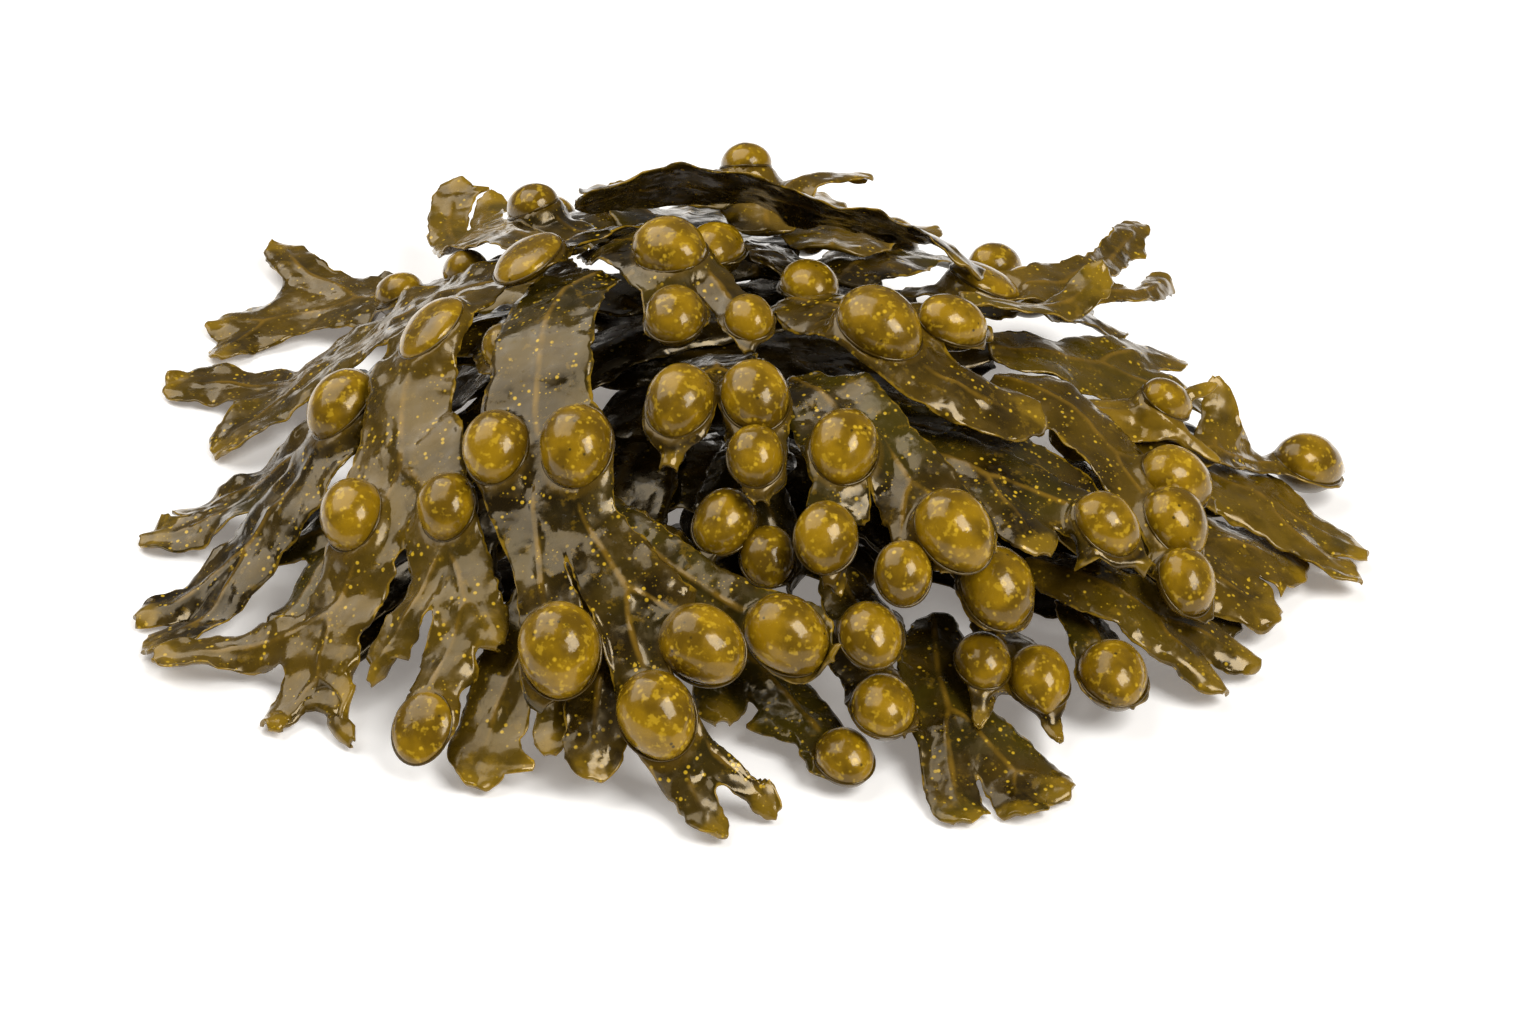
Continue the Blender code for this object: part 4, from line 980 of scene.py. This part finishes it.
def seat_height(points, frond, bladder):
    """Height over each point of the tilted plane in which the blade surrounds the bladder."""
    centre, facing = frond.bladder_seat(bladder)
    away = points[:, :2] - centre[:2]
    return centre[2] - away @ facing[:2] / facing[2]


def fine_blade(frond, number, heights):
    """The closed fine blade of one frond: points, quads and what its material reads at each point."""
    hidden = frond.key.startswith(HIDDEN)
    points, faces, edge = fine_sheet(frond, number)
    points, quads, edge = divided(points, faces, edge, HIDDEN_LEVEL if hidden else SEEN_LEVEL)
    links, border = edges_of(quads)
    outward = outward_of(points, edge, links)
    normal = normals_of(points, quads)
    ends = round_tips(points, leaf_ends(FRONDS[number][2], (0.0, 0.0)), frond.bladders)
    tip = np.linalg.norm(points[:, None, :2] - ends[None], axis=2).min(1)

    # The blade rises or sinks to each bladder's seat
    collar = np.zeros(len(points))
    inside = np.zeros(len(points))
    for bladder in frond.bladders:
        away = oval_distance(points, bladder)
        near = np.exp(-((np.clip(away, 0, None) / COLLAR) ** 2))
        rise = seat_height(points, frond, bladder) - points[:, 2]
        points[:, 2] += np.clip(rise, -SEAT_MOST, SEAT_MOST) * near
        collar = np.maximum(collar, near)
        inside = np.maximum(inside, near * (away < SEAT_HELD))

    # Pinched ends, waves and nibbled edges
    calm = 1.0 - CALM_AT_BLADDER * collar
    points -= outward * (ribbon_distance(points, edge, links) * end_pinch(points, frond, ends))[:, None]
    ruffle = fractal(points, RUFFLES, number) * edge**RUFFLE_POWER
    wrinkle = fractal(points, WRINKLES, number + 0.5) * (1 - WRINKLES_LESS * edge)
    if frond.key in RUFFLED:
        ruffle *= RUFFLED_MORE
    mean, change = DROOP_SHARES
    droop = DROOP * (mean + change * math.sin(number * DROOP_STEP)) * edge**2
    points = points + normal * ((ruffle + wrinkle - droop) * calm)[:, None]
    waves = np.maximum(fractal(points, NIBBLES, number + 0.25), NIBBLE_LEAST)
    points = points - outward * ((NIBBLE_DEPTH + waves) * edge**NIBBLE_POWER * calm)[:, None]

    # The thickness, and the lift clear of the blades below
    normal = normals_of(points, quads)
    rib_fade = np.clip((tip - RIB_FADE[0]) / RIB_FADE[1], 0, 1)
    rib = np.exp(-((ribbon_distance(points, edge, links) / RIB_WIDTH) ** 2)) * rib_fade * (1 - collar)
    half = EDGE_HALF + (MIDDLE_HALF - EDGE_HALF) * (1 - edge**THIN_POWER)
    above = half + RIB_RISE * rib
    below = half + RIB_RISE * RIB_UNDER * rib
    low = points[:, 2] - below * np.maximum(normal[:, 2], LEAST_DEPTH)
    need = np.maximum(heights.under(points[:, :2]) + FINE_GAP, LOWEST) - low
    push = np.clip(need, 0, MOST_LIFT) * (1 - inside)
    points[:, 2] += spread_lift(push, links, LIFT_STEPS)
    top = points + normal * above[:, None]
    bottom = points - normal * below[:, None]
    for laid in (top, top[quads].mean(1), top[links].mean(1)):
        heights.raise_to(laid)

    # The border runs with the top's quads, so the walls run against it
    count = len(points)
    walls = np.column_stack([border[:, 1], border[:, 0], border[:, 0] + count, border[:, 1] + count])
    shell = np.vstack([quads, quads[:, ::-1] + count, walls])
    facts = {
        "edge": edge,
        "rib": rib,
        # The tip's golden colour, in part painted light shining through the thin tip
        "tip": np.exp(-((tip / TIP_LIGHT) ** 2)) * (1 - collar),
        "rim": collar,
        "tone": np.full(count, 0.5 + 0.5 * math.sin(number * PHASE_STEP)),
        # Painted shade: the fronds deep in the heap are darkened to stand in for the shade there
        "deep": np.full(count, float(frond.key.startswith(PAINTED_SHADE_FRONDS))),
        "gold": np.full(count, GOLDEN.get(frond.key, 0.0)),
    }
    return np.vstack([top, bottom]), shell, {name: np.tile(value, 2) for name, value in facts.items()}


def ribbon_distance(points, edge, links):
    """Distance from the middle line, from the edge value and how fast it grows."""
    step = np.linalg.norm(points[links[:, 1]] - points[links[:, 0]], axis=1)
    rate = np.abs(edge[links[:, 1]] - edge[links[:, 0]]) / np.maximum(step, 1e-6)
    steepest = np.zeros(len(points))
    np.maximum.at(steepest, links[:, 0], rate)
    np.maximum.at(steepest, links[:, 1], rate)
    return edge / np.maximum(steepest, LEAST_RATE)


def fine_bladders(frond, number):
    """The smooth bladders of one frond, as one mesh of separate closed ovals."""
    unit, faces = new_ball(OVAL_SIDES, OVAL_RINGS, 1.0)
    # The poles lie along the branch
    unit = unit[:, [2, 0, 1]]
    points, all_faces, under = [], [], []
    for index, bladder in enumerate(frond.bladders):
        shape = unit.copy()
        along = shape[:, 0]
        shape[:, 1:] *= (1 - OVAL_TAPER * along)[:, None]
        shape *= (1 + fractal(unit, OVAL_UNEVEN, number * 3 + index))[:, None]
        if (frond.key, index) in POINTED:
            shape[:, 0] += MUCRO * np.clip((along - MUCRO_FROM) / (1 - MUCRO_FROM), 0, 1) ** 2
        centre = frond.bladder_centre(bladder)
        rim_points, rim_faces = wet_rim(frond, bladder)
        # Painted shade: darker towards the bottom of each bladder, and dark all over its ring of water where
        # it meets the blade
        under += [np.clip(PAINTED_SHADE_REACH - unit[:, 2], 0, 1), np.ones(len(rim_points))]
        for new_points, new_faces in ((shape @ bladder["axes"].T + centre, faces), (rim_points, rim_faces)):
            count = sum(len(p) for p in points)
            all_faces += [[i + count for i in f] for f in new_faces]
            points.append(new_points)
    return np.vstack(points), all_faces, {"under": np.concatenate(under)}


def wet_rim(frond, bladder):
    """A thin ring of water round a bladder, where the blade meets it."""
    axes = bladder["axes"]
    centre, facing = frond.bladder_seat(bladder)
    points, faces = [], []
    for i in range(OVAL_SIDES):
        turn = 2 * math.pi * i / OVAL_SIDES
        out = axes[:, 0] * math.cos(turn) + axes[:, 1] * math.sin(turn)
        away = out / np.linalg.norm(out)
        for k in range(WET_RIM_SIDES):
            round_tube = 2 * math.pi * k / WET_RIM_SIDES
            side = away * math.cos(round_tube) + facing * math.sin(round_tube)
            points.append(centre + out + facing * MIDDLE_HALF * WET_RIM_RAISED + side * WET_RIM)
    for i in range(OVAL_SIDES):
        for k in range(WET_RIM_SIDES):
            row, next_row = i * WET_RIM_SIDES, (i + 1) % OVAL_SIDES * WET_RIM_SIDES
            next_k = (k + 1) % WET_RIM_SIDES
            faces.append([row + k, next_row + k, next_row + next_k, row + next_k])
    return np.array(points), faces


def new_piece(frond, kind, points, faces, facts, material, middle):
    """A finished mesh object in metres, riding on the clump and standing for its frond's CAD node."""
    name = f"{frond.name}_{kind}"
    mesh = bpy.data.meshes.new(name)
    mesh.from_pydata(((points - np.array([*middle, 0.0])) * MM).tolist(), [], [list(f) for f in faces])
    for fact, value in facts.items():
        mesh.attributes.new(fact, "FLOAT", "POINT").data.foreach_set("value", value)
    mesh.shade_smooth()
    mesh.materials.append(material)
    piece = bpy.data.objects.new(name, mesh)
    bpy.context.scene.collection.objects.link(piece)
    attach(piece, "root")
    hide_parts(frond.name)
    return piece


class Nodes:
    """Short calls for a material's nodes."""

    def __init__(self, name):
        self.material = bpy.data.materials.new(name)
        self.material.use_nodes = True
        self.tree = self.material.node_tree
        self.shader = self.tree.nodes["Principled BSDF"]
        self.place = self.new("TexCoord").outputs["Object"]

    def new(self, kind):
        return self.tree.nodes.new("ShaderNode" + kind)

    def fill(self, node, inputs, output=0):
        """Sets a node's inputs to numbers or colours, or links them to other outputs. Returns an output."""
        for name, value in inputs.items():
            socket = node.inputs[name]
            if isinstance(value, (int, float)):
                socket.default_value = value
            elif isinstance(value, tuple):
                socket.default_value = (*value, 1.0)
            else:
                self.tree.links.new(value, socket)
        return node.outputs[output]

    def fact(self, name):
        """What the mesh says at each point under that name."""
        node = self.new("Attribute")
        node.attribute_name = name
        return node.outputs["Fac"]

    def noise(self, size_mm, detail=3.0, roughness=0.5):
        inputs = {"Vector": self.place, "Scale": 1 / (size_mm * MM), "Detail": detail, "Roughness": roughness}
        return self.fill(self.new("TexNoise"), inputs, "Fac")

    def ramp(self, value, low, high, least=0.0, most=1.0):
        """A value between low and high, eased into the range from least to most."""
        node = self.new("MapRange")
        node.interpolation_type = "SMOOTHSTEP"
        inputs = {"Value": value, "From Min": low, "From Max": high, "To Min": least, "To Max": most}
        return self.fill(node, inputs, "Result")

    def patches(self, size_mm, *ramp, detail=3.0, roughness=0.5):
        return self.ramp(self.noise(size_mm, detail, roughness), *ramp)

    def dots(self, size_mm, low, high):
        """Scattered dots, fading out from the high to the low distance from their middle."""
        inputs = {"Vector": self.place, "Scale": 1 / (size_mm * MM)}
        return self.ramp(self.fill(self.new("TexVoronoi"), inputs, "Distance"), low, high)

    def math(self, operation, a, b):
        node = self.new("Math")
        node.operation = operation
        return self.fill(node, {0: a, 1: b})

    def times(self, a, b):
        return self.math("MULTIPLY", a, b)

    def plus(self, a, b):
        return self.math("ADD", a, b)

    def layers(self, colour, *rows):
        """The colour with others laid over it in turn, each row the share it takes and the colour."""
        for share, over in rows:
            node = self.new("Mix")
            node.data_type = "RGBA"
            colour = self.fill(node, {0: share, 6: colour, 7: over}, 2)
        return colour

    def bump(self, height, strength, distance_mm, *normal):
        """Relief from a height, over the relief of an earlier bump if one is given."""
        inputs = {"Height": height, "Strength": strength, "Distance": distance_mm * MM}
        inputs.update(zip(["Normal"], normal))
        return self.fill(self.new("Bump"), inputs, "Normal")


# Painted shade for the fronds deep in the heap
DEEP_SHADE = (0.004, 0.002, 0.0003)
DARK_OLIVE = (0.010, 0.0055, 0.0006)
BROWN_OLIVE = (0.056, 0.032, 0.003)
GREEN_OLIVE = (0.044, 0.032, 0.003)
RIB_BROWN = (0.20, 0.11, 0.009)
# Gold of the edges and tips: their own lighter colour, and painted light shining through the thin blade
GOLD_AND_GLOW = (0.34, 0.20, 0.010)
GOLDEN_OLIVE = (0.20, 0.115, 0.006)
AMBER = (0.27, 0.151, 0.003)
DEEP_AMBER = (0.115, 0.062, 0.002)
# Painted shade for the bladders' undersides and their rings of water
PAINTED_SHADE_AMBER = (0.032, 0.017, 0.001)
FLECK = (0.60, 0.38, 0.02)
SPOT = (0.05, 0.03, 0.003)
SHEEN_TINT = (1.0, 0.77, 0.42)
GOLDEN_SHEEN = (1.0, 0.77, 0.38)

# The film of water
WATER = {"Coat Roughness": 0.06, "Coat IOR": 1.4}


def blade_material():
    """Wet brown-olive blade with a film of water: mottled, golden along its midrib and flecks, with golden
    edges and tips that are partly painted light shining through them, and painted shade deep in the heap.
    """
    nodes = Nodes("wet_blade")
    patches, dots, times, plus, ramp, fact = (
        nodes.patches, nodes.dots, nodes.times, nodes.plus, nodes.ramp, nodes.fact)
    # Ragged masks of the golden edge and tip, partly painted light shining through the thin blade
    rough_edge = plus(fact("edge"), patches(3.0, 0.3, 0.7, -0.08, 0.04))
    rough_tip = plus(fact("tip"), patches(4.0, 0.3, 0.7, -0.3, 0.2))
    fleck_clusters = times(dots(1.7, 0.24, 0.12), patches(7.0, 0.44, 0.56, detail=2.0))
    speck_clusters = times(dots(0.9, 0.22, 0.1), patches(4.0, 0.5, 0.58, detail=2.0))
    colour = nodes.layers(
        DARK_OLIVE,
        (patches(9.0, 0.35, 0.68, detail=4.0), BROWN_OLIVE),
        (times(fact("tone"), patches(17.0, 0.4, 0.6)), GREEN_OLIVE),
        (patches(1.6, 0.55, 0.75, 0.0, 0.5, detail=2.0), BROWN_OLIVE),
        (times(fact("gold"), patches(6.0, 0.3, 0.6, 0.35, 1.0)), GOLDEN_OLIVE),
        (times(ramp(fact("rib"), 0.35, 0.95), patches(4.5, 0.35, 0.6, 0.2, 0.75)), RIB_BROWN),
        (times(fleck_clusters, 0.85), FLECK),
        (times(speck_clusters, 0.6), FLECK),
        (patches(2.6, 0.57, 0.66, 0.0, 0.4, detail=4.0, roughness=0.7), GOLDEN_OLIVE),
        (ramp(rough_edge, 0.93, 1.0, 0.0, 0.65), GOLD_AND_GLOW),
        (ramp(rough_tip, 0.3, 0.95, 0.0, 0.45), GOLD_AND_GLOW),
        (ramp(fact("rim"), 0.6, 1.0, 0.0, 0.5), DEEP_AMBER),
        # Painted shade over the fronds deep in the heap
        (times(fact("deep"), 0.8), DEEP_SHADE))
    swell = nodes.bump(nodes.noise(6.5, 2.0), 0.55, 1.3)
    creases = nodes.bump(nodes.noise(3.0, 2.0), 0.35, 0.4, swell)
    film = nodes.bump(nodes.noise(2.6, 2.0), 0.3, 0.35, swell)
    drops = times(dots(1.7, 0.24, 0.1), patches(5.0, 0.5, 0.56))
    nodes.fill(nodes.shader, {
        "Base Color": colour,
        "Roughness": patches(3.2, 0.36, 0.64, 0.11, 0.34),
        "Normal": nodes.bump(nodes.noise(0.8, 2.0), 0.25, 0.1, creases),
        "Specular IOR Level": 0.52,
        "Specular Tint": SHEEN_TINT,
        "Coat Normal": nodes.bump(drops, 0.8, 0.12, film),
        "Coat Weight": 0.28,
        **WATER,
    })
    return nodes.material


def bladder_material():
    """Wet golden-olive bladder with large golden flecks, a few brown spots and painted shade on its
    underside, under a film of water.
    """
    nodes = Nodes("wet_bladder")
    patches, dots, times = nodes.patches, nodes.dots, nodes.times
    spots = times(dots(2.1, 0.17, 0.08), patches(7.0, 0.5, 0.6))
    flecks = times(dots(1.5, 0.32, 0.12), patches(3.4, 0.46, 0.6))
    colour = nodes.layers(
        DEEP_AMBER,
        (patches(6.0, 0.36, 0.66), AMBER),
        (patches(1.3, 0.56, 0.68, 0.0, 0.45, detail=2.0), FLECK),
        (spots, SPOT),
        (times(flecks, 0.8), FLECK),
        # Painted shade on the bladder's underside and on its ring of water
        (nodes.ramp(nodes.fact("under"), 0.0, 0.9, 0.0, 0.9), PAINTED_SHADE_AMBER))
    swell = nodes.bump(nodes.noise(3.5, 2.0), 0.3, 0.4)
    nodes.fill(nodes.shader, {
        "Base Color": colour,
        "Roughness": patches(2.0, 0.3, 0.7, 0.14, 0.30),
        "Normal": nodes.bump(nodes.noise(1.2), 0.3, 0.2, swell),
        "Specular IOR Level": 0.36,
        "Specular Tint": GOLDEN_SHEEN,
        "Coat Normal": nodes.bump(nodes.noise(1.5, 2.0), 0.35, 0.2),
        "Coat Weight": 0.5,
        **WATER,
    })
    return nodes.material


def build_clump():
    """Every frond's fine blade and bladders, from the bottom up."""
    blade = blade_material()
    oval = bladder_material()
    ball_points, ball_faces = new_ball(BLADDER_SIDES, BLADDER_RINGS, BLADDER_FULLER)
    heap = lay_heap((ball_points, triangles_of(ball_faces)))
    middle = heap_middle(heap, ball_points)
    heights = FineMap()
    for number, frond in enumerate(heap):
        piece = new_piece(frond, "blade", *fine_blade(frond, number, heights), blade, middle)
        if frond.bladders:
            points, faces, facts = fine_bladders(frond, number)
            heights.raise_to(points)
            piece = new_piece(frond, "bladders", points, faces, facts, oval, middle)
    return middle


# The camera: the photograph's view, in millimetres of the layout
VIEW_ELEVATION = 33.0
VIEW_DISTANCE = 620.0
VIEW_TARGET = (2.0, 0.0, 8.0)
LENS = 85.0

# Each light's place, its size both ways and its power. Both aim at the middle of the clump
LIGHTS = {"softbox": ((-0.45, 0.2, 0.75), 0.9, 7.9), "key": ((0.5, -0.45, 0.78), 0.52, 9.6)}
LIGHT_TARGET = (0.0, 0.0, 0.02)
LIGHT_COLOUR = (1.0, 0.985, 0.955)

# The floor: its size, how far it lies below the clump, and its look. It glows a little, as if lit evenly
FLOOR_SIZE = 6
FLOOR_BELOW = 0.0003
FLOOR_LOOK = {
    "Base Color": (0.92, 0.92, 0.92),
    "Roughness": 0.8,
    "Specular IOR Level": 0.1,
    "Emission Color": (1.0, 0.93, 0.87),
    "Emission Strength": 0.22,
}
SKY_STRENGTH = 0.12


def add_aimed(name, data, place, target):
    """A camera or a light at a place, aimed at the target."""
    thing = bpy.data.objects.new(name, data)
    bpy.context.scene.collection.objects.link(thing)
    thing.location = place
    thing.rotation_euler = (Vector(target) - Vector(place)).to_track_quat("-Z", "Y").to_euler()
    return thing


def add_camera(middle):
    data = bpy.data.cameras.new("camera")
    data.lens = LENS
    data.sensor_width = 36.0
    data.clip_start = 0.01
    target = Vector(((VIEW_TARGET[0] - middle[0]), (VIEW_TARGET[1] - middle[1]), VIEW_TARGET[2])) * MM
    tilt = math.radians(VIEW_ELEVATION)
    back = Vector((0.0, -math.cos(tilt), math.sin(tilt))) * VIEW_DISTANCE * MM
    bpy.context.scene.camera = add_aimed("camera", data, target + back, target)


def add_stage():
    """A plain white floor, a wide softbox above and behind, a small one at the front right, and a dim sky."""
    bpy.ops.mesh.primitive_plane_add(size=FLOOR_SIZE, location=(0, 0, -FLOOR_BELOW))
    floor = bpy.context.object
    floor.name = "floor"
    nodes = Nodes("floor")
    nodes.fill(nodes.shader, FLOOR_LOOK)
    floor.data.materials.append(nodes.material)
    for name, (place, size, power) in LIGHTS.items():
        data = bpy.data.lights.new(name, "AREA")
        data.shape = "RECTANGLE"
        data.size = data.size_y = size
        data.energy = power
        data.color = LIGHT_COLOUR
        add_aimed(name, data, place, LIGHT_TARGET)
    world = bpy.data.worlds.new("sky")
    world.use_nodes = True
    background = world.node_tree.nodes["Background"]
    background.inputs["Color"].default_value = (1.0, 1.0, 1.0, 1.0)
    background.inputs["Strength"].default_value = SKY_STRENGTH
    bpy.context.scene.world = world
    bpy.context.scene.view_settings.view_transform = "Standard"


middle = build_clump()
add_camera(middle)
add_stage()
